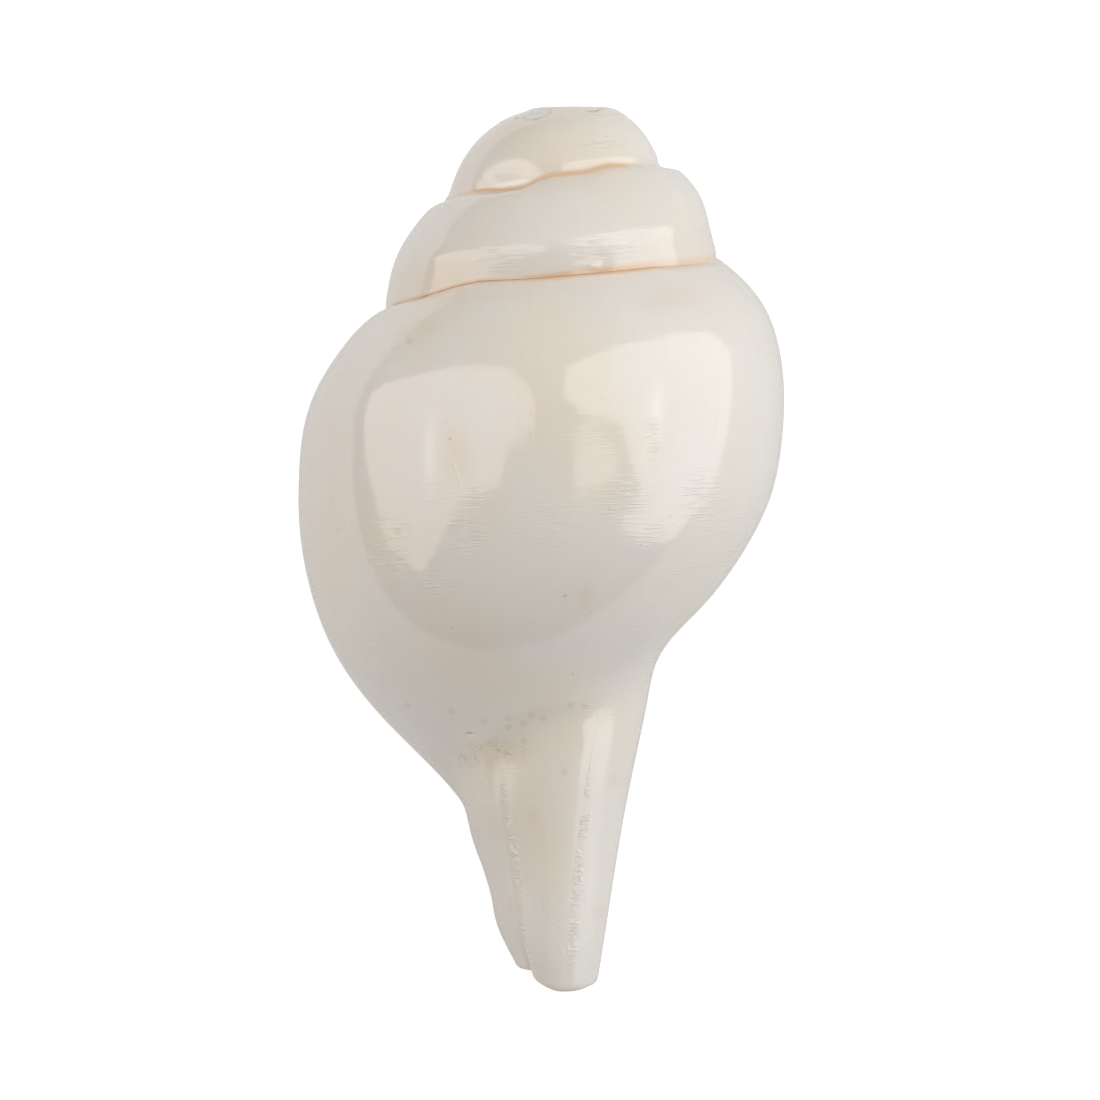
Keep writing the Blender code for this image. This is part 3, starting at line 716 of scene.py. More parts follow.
def shell_mesh(sizes):
    """The whole closed skin of the shell as one mesh, with the maps its material reads."""
    strips, loop = shell_strips(sizes)
    faces = []
    count = 0
    for part in strips:
        faces += grid_faces(part["points"].shape, count).tolist()
        count += part["around"].size
    cap = count + np.arange(len(loop) + 1)
    faces += np.stack([cap[:-1], np.roll(cap[:-1], -1), np.full(len(loop), cap[-1])], 1).tolist()

    points = np.concatenate([s["points"].reshape(-1, 3) for s in strips]
                            + [loop, loop.mean(axis=0)[None]])
    maps = {}
    for name, end in (("around", 0.0), ("down", 0.0), ("suture", NO_SUTURE), ("inside", 1.0),
                      ("groove", NO_SUTURE)):
        maps[name] = np.concatenate([s[name].ravel() for s in strips] + [np.full(len(cap), end)])
    for spot in SCOOPS:
        points = scoop(points, *spot)

    mesh = bpy.data.meshes.new("shell_skin")
    mesh.from_pydata(lay_down(points).tolist(), [], faces)
    add_attribute(mesh, "own_mm", "FLOAT_VECTOR", points)
    add_attribute(mesh, "suture_mm", "FLOAT", maps["suture"])
    add_attribute(mesh, "inside", "FLOAT", maps["inside"])
    add_attribute(mesh, "groove_mm", "FLOAT", maps["groove"])
    corner = np.empty(len(mesh.loops), np.int32)
    mesh.loops.foreach_get("vertex_index", corner)
    wound = np.stack([maps["around"], maps["down"]], axis=1)[corner]
    mesh.uv_layers.new(name="wound_mm").data.foreach_set("uv", wound.astype(np.float32).ravel())

    work = bmesh.new()
    work.from_mesh(mesh)
    bmesh.ops.remove_doubles(work, verts=work.verts, dist=MERGE)
    bmesh.ops.dissolve_degenerate(work, edges=work.edges, dist=MERGE / 2.0)
    bmesh.ops.recalc_face_normals(work, faces=work.faces)
    work.to_mesh(mesh)
    work.free()
    mesh.shade_smooth()
    return mesh


def linear(code):
    """Linear colour with alpha from an sRGB hex code: each channel's sRGB curve undone."""
    channels = [int(code[i:i + 2], 16) / 255.0 for i in (1, 3, 5)]
    return [c / 12.92 if c <= 0.04045 else ((c + 0.055) / 1.055) ** 2.4 for c in channels] + [1.0]


def add(tree, kind, inputs=None, output=0, **settings):
    """Add a node with its settings, fill or link its inputs, and give back one output."""
    node = tree.nodes.new("ShaderNode" + kind)
    for name, value in settings.items():
        setattr(node, name, value)
    for key, value in (inputs or {}).items():
        if isinstance(value, bpy.types.NodeSocket):
            tree.links.new(value, node.inputs[key])
        else:
            node.inputs[key].default_value = value
    return node.outputs[output] if node.outputs else None


# Settings that many nodes share
SMOOTH = {"interpolation_type": "SMOOTHSTEP"}
MULTIPLY = {"operation": "MULTIPLY"}
LARGER = {"operation": "MAXIMUM"}

# Colours of the shell's own matter
PORCELAIN = "#E6E3DD"     # the body, a warm white
CREAM = "#E8DDC9"         # where the older, yellower layer shows
MILK = "#E7E6E4"          # where the newer, whiter layer shows, and painted sheen on the right of the canal and body
APRICOT = "#E4BB8E"       # the seam between two whorls
BLUSH = "#E8CDB4"         # the mouth's inside
CHALK = "#F6F1E9"         # fresh scratches and chips, and a painted reflection on the top whorl's facet
GLOW = "#E6C8A6"          # apricot that shines through the shell
HONEY = "#DCCBA4"         # yellowed shell
RUST = "#C08A48"          # orange specks
PORE = "#A29B91"          # pores, filled with a little grey
STAIN = "#A2825A"         # remains of the brown outer skin
CRUST = "#5E4A36"         # the darkest specks of it

POLISH_IOR = 1.6          # aragonite is between 1.53 and 1.68
WAX_IOR = 1.5

# Marks on the shell's back: middle across and along it, half sizes across and along, turn
# (degrees), colour, share in the middle, and share of the way out over which it fades
MARKS = (
    ((16.0, 101.5), (8.0, 3.0), 8.0, GLOW, 0.2, 0.9),
    # Painted sheen: these two whiter ovals, on the canal's right and the body's right edge, stand in
    # for the right softbox's broad light there
    ((6.5, 18.0), (8.0, 28.0), 0.0, MILK, 0.8, 0.7),
    ((31.0, 80.0), (9.0, 24.0), 0.0, MILK, 0.8, 0.9),
    ((-15.4, 78.5), (3.6, 7.0), 10.0, HONEY, 0.30, 0.9),
    ((-19.4, 97.2), (2.6, 1.6), 10.0, HONEY, 0.15, 0.9),
    ((-9.5, 35.3), (7.5, 3.0), 5.0, HONEY, 0.18, 0.8),
    ((3.3, 58.0), (1.2, 2.8), -10.0, HONEY, 0.25, 0.8),
    ((-7.4, 12.6), (1.0, 2.2), 0.0, GLOW, 0.2, 0.9),
    ((-4.3, 25.8), (1.8, 2.6), 0.0, HONEY, 0.20, 0.9),
    ((5.7, 11.8), (1.6, 2.0), 0.0, GLOW, 0.20, 0.9),
    ((7.8, 31.0), (2.0, 1.4), 0.0, GLOW, 0.2, 0.9),
    ((-15.2, 76.0), (0.15, 4.1), 20.0, CHALK, 0.6, 0.6),
    ((-14.1, 69.0), (0.12, 3.6), 0.0, CHALK, 0.5, 0.6),
    ((-16.4, 81.0), (0.30, 0.26), 0.0, RUST, 0.42, 0.6),
    ((-4.7, 84.7), (0.22, 0.22), 0.0, RUST, 0.29, 0.6),
    ((-4.7, 81.8), (0.22, 0.22), 0.0, RUST, 0.23, 0.6),
    ((-16.9, 83.6), (0.22, 0.30), 0.0, RUST, 0.2, 0.6),
    ((-34.0, 72.6), (0.16, 0.26), 0.0, STAIN, 0.33, 0.6),
    ((-30.9, 68.4), (0.16, 0.20), 0.0, STAIN, 0.26, 0.6),
    ((-32.8, 67.9), (0.28, 0.16), -30.0, STAIN, 0.23, 0.6),
    ((6.7, 70.9), (0.20, 0.20), 0.0, CRUST, 0.2, 0.6),
    ((11.5, 65.6), (0.20, 0.20), 0.0, CRUST, 0.23, 0.6),
    ((15.7, 69.7), (0.26, 0.20), 0.0, STAIN, 0.23, 0.6),
    ((16.2, 68.6), (0.26, 0.20), 0.0, STAIN, 0.2, 0.6),
    ((0.3, 58.2), (0.50, 0.35), 30.0, STAIN, 0.3, 0.5),
    ((-16.0, 53.5), (0.24, 0.24), 0.0, CRUST, 0.2, 0.6),
    ((-12.4, 51.4), (0.18, 0.18), 0.0, STAIN, 0.26, 0.6),
    ((4.0, 55.6), (0.20, 0.20), 0.0, STAIN, 0.26, 0.6),
    ((1.6, 46.7), (0.22, 0.26), 0.0, STAIN, 0.26, 0.6),
    ((-13.6, 38.0), (0.70, 0.20), 4.0, STAIN, 0.6, 0.5),
    ((-13.3, 37.5), (0.65, 0.25), 4.0, CHALK, 0.8, 0.5),
    ((4.7, 106.4), (0.75, 0.35), 8.0, CHALK, 0.8, 0.5),
    # Painted reflection: a pale oval over the top whorl's facet, and a painted highlight as a thin
    # bright crescent under it
    ((-8.0, 120.3), (4.8, 2.2), 8.0, CHALK, 0.4, 0.3),
    ((-7.6, 118.5), (3.9, 0.45), 8.0, CHALK, 0.9, 0.6),
    ((-3.75, 128.7), (2.6, 0.85), 13.0, STAIN, 0.5, 0.35),
    ((-3.70, 128.8), (2.3, 0.62), 13.0, MILK, 0.9, 0.3),
    ((4.65, 129.4), (1.5, 0.38), 12.0, STAIN, 0.5, 0.4),
    ((4.60, 129.55), (1.2, 0.22), 12.0, CHALK, 0.8, 0.4),
    ((-6.8, 128.3), (0.40, 0.22), 20.0, CRUST, 0.5, 0.6),
    ((6.2, 129.8), (0.45, 0.22), -10.0, CRUST, 0.6, 0.6),
)
# Middles of the pores in the same plane, and their radius
PORES = ((-22.8, 41.9), (-16.3, 41.1), (-11.5, 39.6), (-8.0, 40.2), (-7.9, 38.9), (-5.8, 39.4),
         (-4.6, 40.7), (-3.0, 40.2), (1.1, 42.0), (3.1, 41.9), (-5.7, 36.8), (0.2, 32.3),
         (-24.1, 67.5), (-22.4, 95.3))
PORE_RADIUS = 0.62
# Where the polish is scratched most: middles and half sizes
SCRATCHED = (((-13.5, 67.5), (4.0, 5.0)), ((-25.5, 63.5), (4.0, 4.0)), ((-17.5, 60.0), (4.0, 2.5)),
             ((9.0, 72.0), (5.0, 5.0)), ((12.5, 67.0), (4.0, 3.0)), ((20.5, 72.5), (4.5, 6.0)),
             ((13.2, 81.0), (1.5, 5.0)), ((6.0, 109.0), (9.0, 2.5)), ((-9.0, 107.5), (6.0, 2.5)),
             ((5.5, 124.5), (6.0, 2.0)), ((-12.5, 72.5), (3.0, 2.0)))
FAR = 1000.0              # a half size so large that the coordinate doesn't count
STIR = 0.25               # how far the marks' rims are stirred
# A patch of the brown outer skin by the canal's top: middle, half sizes, fade, turn, share
SKIN_PATCH = ((-11.0, 34.8), (7.0, 2.8), 0.6, 10.0, 0.45)

# Sizes of the patterns' blobs, mm. Those that follow the whorls are as long round the shell
# as the first number, and as high as the second.
CLOUDS = (26.0, 26.0, 26.0)      # of cream and milk
SEAM_PATCHES = (6.0, 6.0, 6.0)   # where the apricot is stronger
SKIN_LINES = (0.8, 0.6, 0.8)     # waves of the lines of brown skin
SKIN_BREAKS = (2.2, 2.2, 2.2)    # where those lines are broken
COMB_STROKES = (1.2, 0.4, 1.2)   # of a carver's comb
COMB_PATCHES = (4.0, 4.0, 4.0)   # where the comb bit
WHEEL_SLIPS = (14.0, 9.0, 14.0)  # where the polishing wheel slipped
WAVES = (10.0, 10.0, 10.0)       # of the ground surface
GROWTH_LINES = (1.1, 28.0, 1.0)  # hardly to be seen
FLATS = (9.0, 1.0, 1.0)          # narrow flats that the wheel left
SCRATCHES = (4.0, 0.30, 1.0)

# Heights of the relief, mm
WAVE_RISE = 0.16
FLAT_RISE = 0.022
SCRATCH_RISE = 0.05
COMB_RISE = 0.1
PORE_RISE = -0.02

COMB_START = (-0.3, 0.1)  # distances from a groove between which the strokes begin,
COMB_END = (0.8, 1.7)     # and between which they end
SEAM_SIDES = (-22.0, 22.0)  # where the seam's apricot line is thinnest and widest
SEAM_WIDTHS = (0.45, 1.3)  # how far it reaches from the seam there
GLOW_REACH = 6.0          # how far the seam's glow reaches
PORE_GREY = 0.14          # share of grey in a pore
LIGHT_DEPTH = 2.0         # how far red light goes into the shell
LIGHT_SHARES = (1.0, 0.75, 0.55)  # how far red, green and blue go, over that
DULL_FROM = 37.0          # height above the tip below which the canal is less well polished
DULL_TO = 27.0
DULL_ROUGHNESS = 0.26     # of the ground shell there
DULL_WAX = 0.1            # share of the wax that is left there


def oval(tree, at, middle, sizes, fade, turn=0.0, share=1.0):
    """Socket with share inside an oval on the shell's back, falling to 0 at its rim."""
    local = add(tree, "Mapping", {"Vector": at, "Location": (*middle, 0.0), "Scale": (*sizes, FAR),
                                  "Rotation": (0.0, 0.0, math.radians(turn))}, vector_type="TEXTURE")
    away = add(tree, "VectorMath", {0: local}, "Value", operation="LENGTH")
    return add(tree, "MapRange", {0: away, 1: 1.0, 2: 1.0 - fade, 4: share}, **SMOOTH)


def grain(tree, at, sizes, detail=1.0):
    """Socket with noise whose blobs are about as big as sizes, mm."""
    scaled = add(tree, "Mapping", {"Vector": at, "Scale": sizes}, vector_type="TEXTURE")
    return add(tree, "TexNoise", {"Vector": scaled, "Scale": 1.0, "Detail": detail})


def seam_core(tree, own, seam):
    """Socket with the apricot's share: a thin line on the left, wider and paler on the right."""
    across = add(tree, "SeparateXYZ", {0: own})
    width = add(tree, "MapRange", {0: across, 1: SEAM_SIDES[0], 2: SEAM_SIDES[1],
                                   3: SEAM_WIDTHS[0], 4: SEAM_WIDTHS[1]}, **SMOOTH)
    away = add(tree, "Math", {0: seam, 1: width}, operation="DIVIDE")
    core = add(tree, "MapRange", {0: away, 1: 1.0, 2: 0.15}, **SMOOTH)
    strength = add(tree, "MapRange", {0: across, 1: 6.0, 2: 20.0, 3: 0.8, 4: 0.5}, **SMOOTH)
    patchy = grain(tree, own, SEAM_PATCHES, 2.0)
    patchy = add(tree, "MapRange", {0: patchy, 1: 0.3, 2: 0.6, 3: 0.6}, **SMOOTH)
    strength = add(tree, "Math", {0: strength, 1: patchy}, **MULTIPLY)
    return add(tree, "Math", {0: core, 1: strength}, **MULTIPLY)


def squiggles(tree, own, back):
    """Socket with thin wavy lines of brown skin: they lie where a noise crosses its middle."""
    wavy = grain(tree, own, SKIN_LINES, 2.0)
    rise = add(tree, "MapRange", {0: wavy, 1: 0.45, 2: 0.50}, **SMOOTH)
    fall = add(tree, "MapRange", {0: wavy, 1: 0.55, 2: 0.50}, **SMOOTH)
    lines = add(tree, "Math", {0: rise, 1: fall}, **MULTIPLY)
    broken = grain(tree, own, SKIN_BREAKS)
    broken = add(tree, "MapRange", {0: broken, 1: 0.42, 2: 0.58}, **SMOOTH)
    patch = oval(tree, own, *SKIN_PATCH)
    for share in (patch, broken, back):
        lines = add(tree, "Math", {0: lines, 1: share}, **MULTIPLY)
    return lines


def shell_colour(tree, own, back, wound, seam, inside, comb):
    """Socket with the shell's colour: each layer is laid over the one before."""
    clouds = grain(tree, own, CLOUDS, 3.0)
    lines = grain(tree, wound, GROWTH_LINES, 3.0)
    # How much of a layer shows, from 0 to 1, and its colour
    layers = [
        (add(tree, "MapRange", {0: clouds, 1: 0.48, 2: 0.68, 4: 0.45}, **SMOOTH), CREAM),
        (add(tree, "MapRange", {0: clouds, 1: 0.50, 2: 0.34, 4: 0.6}, **SMOOTH), MILK),
        (add(tree, "MapRange", {0: lines, 1: 0.35, 2: 0.65, 4: 0.015}, **SMOOTH), STAIN),
        (add(tree, "MapRange", {0: seam, 1: GLOW_REACH, 2: 0.5, 4: 0.14}, **SMOOTH), GLOW),
        (seam_core(tree, own, seam), APRICOT),
        (add(tree, "Math", {0: inside, 1: 0.75}, **MULTIPLY), BLUSH),
        (add(tree, "Math", {0: comb, 1: 0.9}, **MULTIPLY), CHALK),
    ]
    # The marks' rims are irregular, so their coordinates are stirred to both sides
    stir = add(tree, "TexNoise", {"Vector": own, "Scale": 1.0}, "Color")
    stirred = add(tree, "VectorMath", {0: stir, 1: (2.0 * STIR, 2.0 * STIR, 0.0), 2: own},
                  operation="MULTIPLY_ADD")
    stirred = add(tree, "VectorMath", {0: stirred, 1: (STIR, STIR, 0.0)}, operation="SUBTRACT")
    for middle, sizes, turn, code, share, fade in MARKS:
        mark = oval(tree, stirred, middle, sizes, fade, turn, share)
        layers.append((add(tree, "Math", {0: mark, 1: back}, **MULTIPLY), code))
    layers.append((squiggles(tree, own, back), STAIN))

    colour = linear(PORCELAIN)
    for share, code in layers:
        colour = add(tree, "Mix", {0: share, 6: colour, 7: linear(code)}, 2, data_type="RGBA")
    return colour


def comb_marks(tree, own, groove):
    """Socket with a carver's comb marks: short strokes on each groove and just to its right."""
    comb = grain(tree, own, COMB_STROKES)
    comb = add(tree, "MapRange", {0: comb, 1: 0.46, 2: 0.56}, **SMOOTH)
    start = add(tree, "MapRange", {0: groove, 1: COMB_START[0], 2: COMB_START[1]}, **SMOOTH)
    stop = add(tree, "MapRange", {0: groove, 1: COMB_END[1], 2: COMB_END[0]}, **SMOOTH)
    patchy = grain(tree, own, COMB_PATCHES, 2.0)
    patchy = add(tree, "MapRange", {0: patchy, 1: 0.40, 2: 0.52}, **SMOOTH)
    for share in (start, stop, patchy):
        comb = add(tree, "Math", {0: comb, 1: share}, **MULTIPLY)
    return comb


def all_pores(tree, own, back):
    """Socket with 1 in the middle of every pore."""
    pores = 0.0
    for middle in PORES:
        pore = oval(tree, own, middle, (PORE_RADIUS, PORE_RADIUS), 0.4)
        pores = add(tree, "Math", {0: pore, 1: pores}, **LARGER)
    return add(tree, "Math", {0: pores, 1: back}, **MULTIPLY)


def wheel_scratches(tree, own, wound):
    """Socket with a polishing wheel's scratches round the whorl, deep where it slipped.

    Real ones are less than 0.1 mm wide. They are drawn three times as coarse, so that they
    show.
    """
    slipped = grain(tree, own, WHEEL_SLIPS, 2.0)
    slipped = add(tree, "MapRange", {0: slipped, 1: 0.50, 2: 0.64, 3: 0.03, 4: 0.35}, **SMOOTH)
    for middle, sizes in SCRATCHED:
        patch = oval(tree, own, middle, sizes, 0.7)
        slipped = add(tree, "Math", {0: patch, 1: slipped}, **LARGER)
    scratches = grain(tree, wound, SCRATCHES)
    scratches = add(tree, "MapRange", {0: scratches, 1: 0.50, 2: 0.62}, **SMOOTH)
    return add(tree, "Math", {0: scratches, 1: slipped}, **MULTIPLY)


def polished_aragonite(finish):
    """Porcelain-like aragonite of a chank shell, ground, polished and waxed.

    It gives the eye a warm white that light enters a little, a sharp mirror of the lamps
    that fine polishing scratches fray, and apricot in the seams. The canal has lost most of
    its wax, so that its lights are softer.
    """
    material = bpy.data.materials.new("polished_aragonite")
    material.use_nodes = True
    tree = material.node_tree
    tree.nodes.clear()
    own = add(tree, "Attribute", output="Vector", attribute_name="own_mm")
    wound = add(tree, "UVMap", uv_map="wound_mm")
    seam, inside, groove = (add(tree, "Attribute", output="Fac", attribute_name=name)
                            for name in ("suture_mm", "inside", "groove_mm"))
    height = add(tree, "SeparateXYZ", {0: own}, "Y")
    # The marks are ovals in the plane of the shell's width and height, and lie on its back only
    back = add(tree, "SeparateXYZ", {0: own}, "Z")
    back = add(tree, "MapRange", {0: back, 1: -1.0, 2: 1.0}, **SMOOTH)

    comb = comb_marks(tree, own, groove)
    pores = all_pores(tree, own, back)
    colour = shell_colour(tree, own, back, wound, seam, inside, comb)
    grey = add(tree, "Math", {0: pores, 1: PORE_GREY}, **MULTIPLY)
    colour = add(tree, "Mix", {0: grey, 6: colour, 7: linear(PORE)}, 2, data_type="RGBA")

    relief = None
    for level, rise in ((grain(tree, own, WAVES), WAVE_RISE),
                        (grain(tree, wound, FLATS), FLAT_RISE),
                        (wheel_scratches(tree, own, wound), SCRATCH_RISE),
                        (comb, COMB_RISE), (pores, PORE_RISE)):
        sockets = {"Height": level, "Distance": rise * MM}
        if relief is not None:
            sockets["Normal"] = relief
        relief = add(tree, "Bump", sockets)

    ground = add(tree, "MapRange", {0: height, 1: DULL_FROM, 2: DULL_TO, 3: finish.roughness,
                                    4: DULL_ROUGHNESS}, **SMOOTH)
    wax = add(tree, "MapRange", {0: height, 1: DULL_FROM, 2: DULL_TO, 3: 1.0, 4: DULL_WAX}, **SMOOTH)
    shader = add(tree, "BsdfPrincipled",
                 {"Base Color": colour, "Normal": relief, "Roughness": ground,
                  "IOR": POLISH_IOR, "Subsurface Weight": finish.translucency,
                  "Subsurface Radius": LIGHT_SHARES, "Subsurface Scale": LIGHT_DEPTH * MM,
                  "Coat Weight": wax, "Coat Roughness": finish.coat_roughness, "Coat IOR": WAX_IOR,
                  "Coat Normal": relief})
    add(tree, "OutputMaterial", {"Surface": shader})
    return material


# The stage. Directions are in the shell's own frame, where +Z looks at the camera.
AIM_OFFSET = (1.30, -0.19, -9.09)  # the view's middle, from the middle of the shell's box, mm
SENSOR = 36.0             # width of the camera's sensor, mm
ROOM_BRIGHT = (0.7, 0.65, 0.3)  # way in which the room is brightest
ROOM_LIFT = 1.2           # how much brighter it is there
GLOSS_LIFT = 0.25         # light added to the floor in the shell's polish
FLOOR_LIFT = 0.75         # light added to the floor where it is seen, so that it is white
SOFTBOX_LEFT = ((-0.90, 0.38, -0.22), (-0.78, 0.58, 0.23), (-0.57, 0.65, 0.50), (-0.38, 0.63, 0.68),
                (-0.22, 0.46, 0.86), (-0.13, 0.24, 0.96), (-0.13, 0.10, 0.99), (-0.34, 0.02, 0.94),
                (-0.36, -0.12, 0.93), (-0.54, -0.19, 0.82), (-0.64, -0.21, 0.74),
                (-0.71, -0.34, 0.62), (-0.78, -0.55, 0.30), (-0.88, -0.41, 0.25),
                (-0.95, -0.28, 0.11), (-0.99, -0.11, 0.07), (-1.00, 0.02, -0.03), (-0.99, 0.12, -0.09))
SOFTBOX_RIGHT = ((0.06, 0.57, 0.82), (0.36, 0.70, 0.62), (0.59, 0.71, 0.38), (0.83, 0.54, -0.12),
                 (0.90, 0.38, -0.21), (0.96, 0.16, -0.24), (0.96, 0.03, -0.28), (0.98, -0.08, -0.20),
                 (0.97, -0.23, -0.06), (0.91, -0.41, 0.07), (0.81, -0.57, 0.10), (0.66, -0.57, 0.49),
                 (0.58, -0.49, 0.65), (0.71, -0.23, 0.67), (0.61, -0.01, 0.79), (0.51, 0.10, 0.85),
                 (0.23, 0.16, 0.96), (0.08, 0.29, 0.95))
FILL_CARD = ((0.21, 0.09, 0.97), (0.44, 0.02, 0.90), (0.54, -0.06, 0.84), (0.52, -0.17, 0.84),
             (0.43, -0.24, 0.87), (0.28, -0.24, 0.93), (0.21, -0.12, 0.97))
HOT_LEFT = (-0.84, 0.04, 0.54)   # direction of the bright middle of each softbox
HOT_RIGHT = (0.76, 0.13, 0.63)
HOT_SIZE = (0.035, 0.17, 1.0)    # its half width, half height and depth, metres
HOT_SHARE = 0.6           # how much brighter it is than the rest
LEFT_LIGHT = "#FFF6EE"    # colours of the softboxes' light
RIGHT_LIGHT = "#FFFCF8"
FLOOR_GREY = "#C4C4C4"
RIM_SIDES = 96            # straight sides of the round floor
CLIP_START = 0.01         # nearest and furthest that the camera sees, metres
CLIP_END = 10.0


def softbox(name, corners, distance, strength, hot, colour):
    """A flat lamp: every corner is where its direction meets one plane at that distance.

    Its light grows smoothly towards an oval round the hot direction.
    """
    corners = np.array([*corners, hot])
    middle = corners[:-1].mean(axis=0)
    middle /= np.linalg.norm(middle)
    spots = corners * (distance / (corners @ middle))[:, None]
    turn = rest_turn()
    low, high = (np.array(corner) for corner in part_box(NODE))
    spots = (spots @ np.array(turn).T + (low + high) / 2.0).tolist()
    mesh = bpy.data.meshes.new(name)
    mesh.from_pydata(spots[:-1], [], [list(range(len(spots) - 1))])
    material = bpy.data.materials.new(name)
    material.use_nodes = True
    tree = material.node_tree
    tree.nodes.clear()
    at = add(tree, "TexCoord", output="Object")
    at = add(tree, "Mapping", {"Vector": at, "Location": spots[-1], "Rotation": turn.to_euler(),
                               "Scale": HOT_SIZE}, vector_type="TEXTURE")
    away = add(tree, "VectorMath", {0: at}, "Value", operation="LENGTH")
    glow = add(tree, "MapRange", {0: away, 1: 1.0, 2: 0.0, 3: strength,
                                  4: strength * (1.0 + HOT_SHARE)}, **SMOOTH)
    light = add(tree, "Emission", {"Color": linear(colour), "Strength": glow})
    add(tree, "OutputMaterial", {"Surface": light})
    mesh.materials.append(material)
    lamp = bpy.data.objects.new(name, mesh)
    lamp.visible_camera = False
    bpy.context.scene.collection.objects.link(lamp)


class ShellSizes(bpy.types.PropertyGroup):
    """Sizes of the shell that a user may change without leaving its kind."""

    wall: FloatProperty(name="Wall", description="Thickness of the body whorl's wall",
                        default=0.004, min=0.002, max=0.006, subtype="DISTANCE", unit="LENGTH")
    lip_wall: FloatProperty(name="Lip", description="Thickness at the edge of the lip",
                            default=0.0025, min=0.0015, max=0.004, subtype="DISTANCE", unit="LENGTH")
    column_degrees: IntProperty(name="Column step", description="Degrees between mesh columns",
                                default=2, min=1, max=12)


class ShellFinish(bpy.types.PropertyGroup):
    """How the shell's matter takes the light."""

    roughness: FloatProperty(name="Roughness", description="Of the ground shell under the wax",
                             default=0.12, min=0.0, max=1.0, subtype="FACTOR")
    coat_roughness: FloatProperty(name="Wax roughness", description="Of the waxed polish",
                                  default=0.01, min=0.0, max=1.0, subtype="FACTOR")
    translucency: FloatProperty(name="Translucency", description="Share of light that goes in",
                                default=0.2, min=0.0, max=1.0, subtype="FACTOR")


class StageSettings(bpy.types.PropertyGroup):
    """Floor, lamps and camera."""

    floor_colour: FloatVectorProperty(name="Floor", description="Colour of the floor", size=3,
                                      default=linear(FLOOR_GREY)[:3], min=0.0, max=1.0,
                                      subtype="COLOR")
    floor_radius: FloatProperty(name="Floor radius", description="Radius of the round floor",
                                default=0.30, min=0.2, max=2.0, subtype="DISTANCE", unit="LENGTH")
    left_strength: FloatProperty(name="Left softbox", description="Radiance of the left softbox",
                                 default=1.35, min=0.0, max=10.0)
    right_strength: FloatProperty(name="Right softbox", description="Radiance of the right softbox",
                                  default=1.65, min=0.0, max=10.0)
    card_strength: FloatProperty(name="Fill card", description="Radiance of the small card",
                                 default=1.3, min=0.0, max=10.0)
    room_strength: FloatProperty(name="Room", description="Radiance of the dim room round about",
                                 default=0.30, min=0.0, max=2.0)
    softbox_distance: FloatProperty(name="Softbox distance", description="From the shell's middle",
                                    default=0.6, min=0.3, max=2.0, subtype="DISTANCE", unit="LENGTH")
    lens: FloatProperty(name="Lens", description="Focal length of the camera", default=600.0,
                        min=50.0, max=1000.0, subtype="DISTANCE_CAMERA", unit="CAMERA")
    view_width: FloatProperty(name="View width", description="Width of the view at the shell's axis",
                              default=0.1619, min=0.1, max=1.0, subtype="DISTANCE", unit="LENGTH")


class CONCH_OT_shell(bpy.types.Operator):
    """Build the shell's skin with its material, in place of the plain solid"""

    bl_idname = "conch.shell"
    bl_label = "Build shell"

    def execute(self, context):
        scene = context.scene
        mesh = shell_mesh(scene.conch_sizes)
        mesh.materials.append(polished_aragonite(scene.conch_finish))
        skin = bpy.data.objects.new("shell_skin", mesh)
        scene.collection.objects.link(skin)
        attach(skin, BODY)
        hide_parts(NODE)
        return {"FINISHED"}


def pale_floor(settings):
    """A round pale floor, and a material that adds a little light where it is seen."""
    angle = np.linspace(0.0, 2.0 * math.pi, RIM_SIDES + 1)[:-1]
    rim = settings.floor_radius * np.stack([np.cos(angle), np.sin(angle), 0.0 * angle], axis=1)
    mesh = bpy.data.meshes.new("floor")
    mesh.from_pydata(rim.tolist(), [], [list(range(len(rim)))])
    material = bpy.data.materials.new("pale_floor")
    material.use_nodes = True
    tree = material.node_tree
    tree.nodes.clear()
    paint = add(tree, "BsdfDiffuse", {"Color": [*settings.floor_colour, 1.0]})
    camera, glossy, through = (add(tree, "LightPath", output=f"Is {kind} Ray")
                               for kind in ("Camera", "Glossy", "Transmission"))
    seen = add(tree, "Math", {0: camera, 1: through}, operation="ADD", use_clamp=True)
    lift = add(tree, "Math", {0: seen, 1: FLOOR_LIFT}, **MULTIPLY)
    lift = add(tree, "Math", {0: glossy, 1: GLOSS_LIFT, 2: lift}, operation="MULTIPLY_ADD")
    glow = add(tree, "Emission", {"Strength": lift})
    add(tree, "OutputMaterial", {"Surface": add(tree, "AddShader", {0: paint, 1: glow})})
    mesh.materials.append(material)
    floor = bpy.data.objects.new("floor", mesh)
    bpy.context.scene.collection.objects.link(floor)


def dim_room(settings):
    """World: a dim grey room for the light and the gloss, and white where it is seen."""
    world = bpy.data.worlds.new("room")
    bpy.context.scene.world = world
    world.use_nodes = True
    tree = world.node_tree
    tree.nodes.clear()
    camera, through = (add(tree, "LightPath", output=f"Is {kind} Ray")
                       for kind in ("Camera", "Transmission"))
    seen = add(tree, "Math", {0: camera, 1: through}, operation="ADD", use_clamp=True)
    way = add(tree, "TexCoord", output="Generated")
    toward = add(tree, "VectorMath", {0: way, 1: ROOM_BRIGHT}, "Value", operation="DOT_PRODUCT")
    room = add(tree, "MapRange", {0: toward, 3: settings.room_strength,
                                  4: settings.room_strength * (1.0 + ROOM_LIFT)}, **SMOOTH)
    strength = add(tree, "MapRange", {0: seen, 3: room, 4: 1.0})
    light = add(tree, "Background", {"Color": (1.0, 1.0, 1.0, 1.0), "Strength": strength})
    add(tree, "OutputWorld", {"Surface": light})


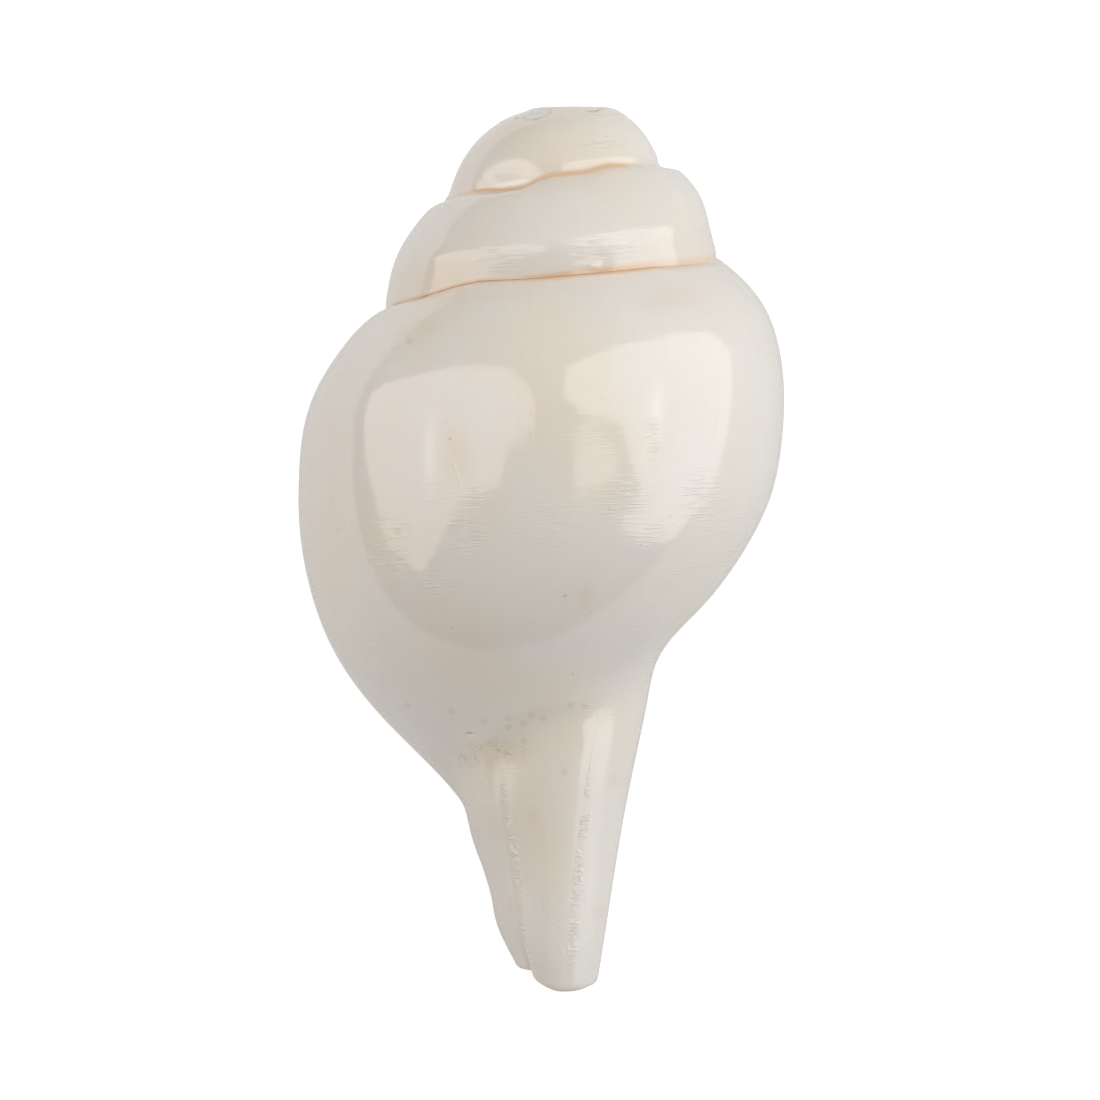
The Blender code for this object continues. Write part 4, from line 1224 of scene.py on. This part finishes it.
def long_lens_camera(settings):
    """Camera over the shell's back: its distance is the view's width by the lens over the sensor."""
    data = bpy.data.cameras.new("camera")
    data.sensor_width = SENSOR
    data.lens = settings.lens
    distance = settings.view_width * settings.lens / SENSOR
    turn = rest_turn()
    low, high = (np.array(corner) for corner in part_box(NODE))
    camera = bpy.data.objects.new("camera", data)
    aim = Vector((low + high) / 2.0) + Vector(AIM_OFFSET) * MM
    camera.matrix_world = Matrix.Translation(aim + turn @ Vector((0.0, 0.0, distance))) @ turn.to_4x4()
    data.clip_start = CLIP_START
    data.clip_end = CLIP_END
    bpy.context.scene.collection.objects.link(camera)
    bpy.context.scene.camera = camera


class CONCH_OT_stage(bpy.types.Operator):
    """Set up the floor, the softboxes, the room and the camera"""

    bl_idname = "conch.stage"
    bl_label = "Set the stage"

    def execute(self, context):
        scene = context.scene
        settings = scene.conch_stage
        pale_floor(settings)
        dim_room(settings)
        distance = settings.softbox_distance
        softbox("softbox_left", SOFTBOX_LEFT, distance, settings.left_strength, HOT_LEFT, LEFT_LIGHT)
        softbox("softbox_right", SOFTBOX_RIGHT, distance, settings.right_strength, HOT_RIGHT,
                RIGHT_LIGHT)
        softbox("fill_card", FILL_CARD, distance, settings.card_strength, HOT_RIGHT, RIGHT_LIGHT)
        long_lens_camera(settings)
        scene.view_settings.view_transform = "Standard"
        return {"FINISHED"}


class CONCH_PT_panel(bpy.types.Panel):
    """Settings and steps of the conch shell"""

    bl_idname = "CONCH_PT_panel"
    bl_label = "Conch shell"
    bl_space_type = "VIEW_3D"
    bl_region_type = "UI"
    bl_category = "Conch shell"

    def draw(self, context):
        scene = context.scene
        steps = ((scene.conch_sizes, None), (scene.conch_finish, CONCH_OT_shell),
                 (scene.conch_stage, CONCH_OT_stage))
        for group, step in steps:
            box = self.layout.box()
            for name in group.__annotations__:
                box.prop(group, name)
            if step is not None:
                box.operator(step.bl_idname)


GROUPS = {"conch_sizes": ShellSizes, "conch_finish": ShellFinish, "conch_stage": StageSettings}
CLASSES = (ShellSizes, ShellFinish, StageSettings, CONCH_OT_shell, CONCH_OT_stage, CONCH_PT_panel)


def register():
    for item in CLASSES:
        bpy.utils.register_class(item)
    for name, group in GROUPS.items():
        setattr(bpy.types.Scene, name, PointerProperty(type=group))


def unregister():
    for name in GROUPS:
        delattr(bpy.types.Scene, name)
    for item in reversed(CLASSES):
        bpy.utils.unregister_class(item)


def main():
    """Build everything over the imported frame."""
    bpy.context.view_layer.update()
    register()
    bpy.ops.conch.shell()
    bpy.ops.conch.stage()
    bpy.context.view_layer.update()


if __name__ == "__main__":
    main()
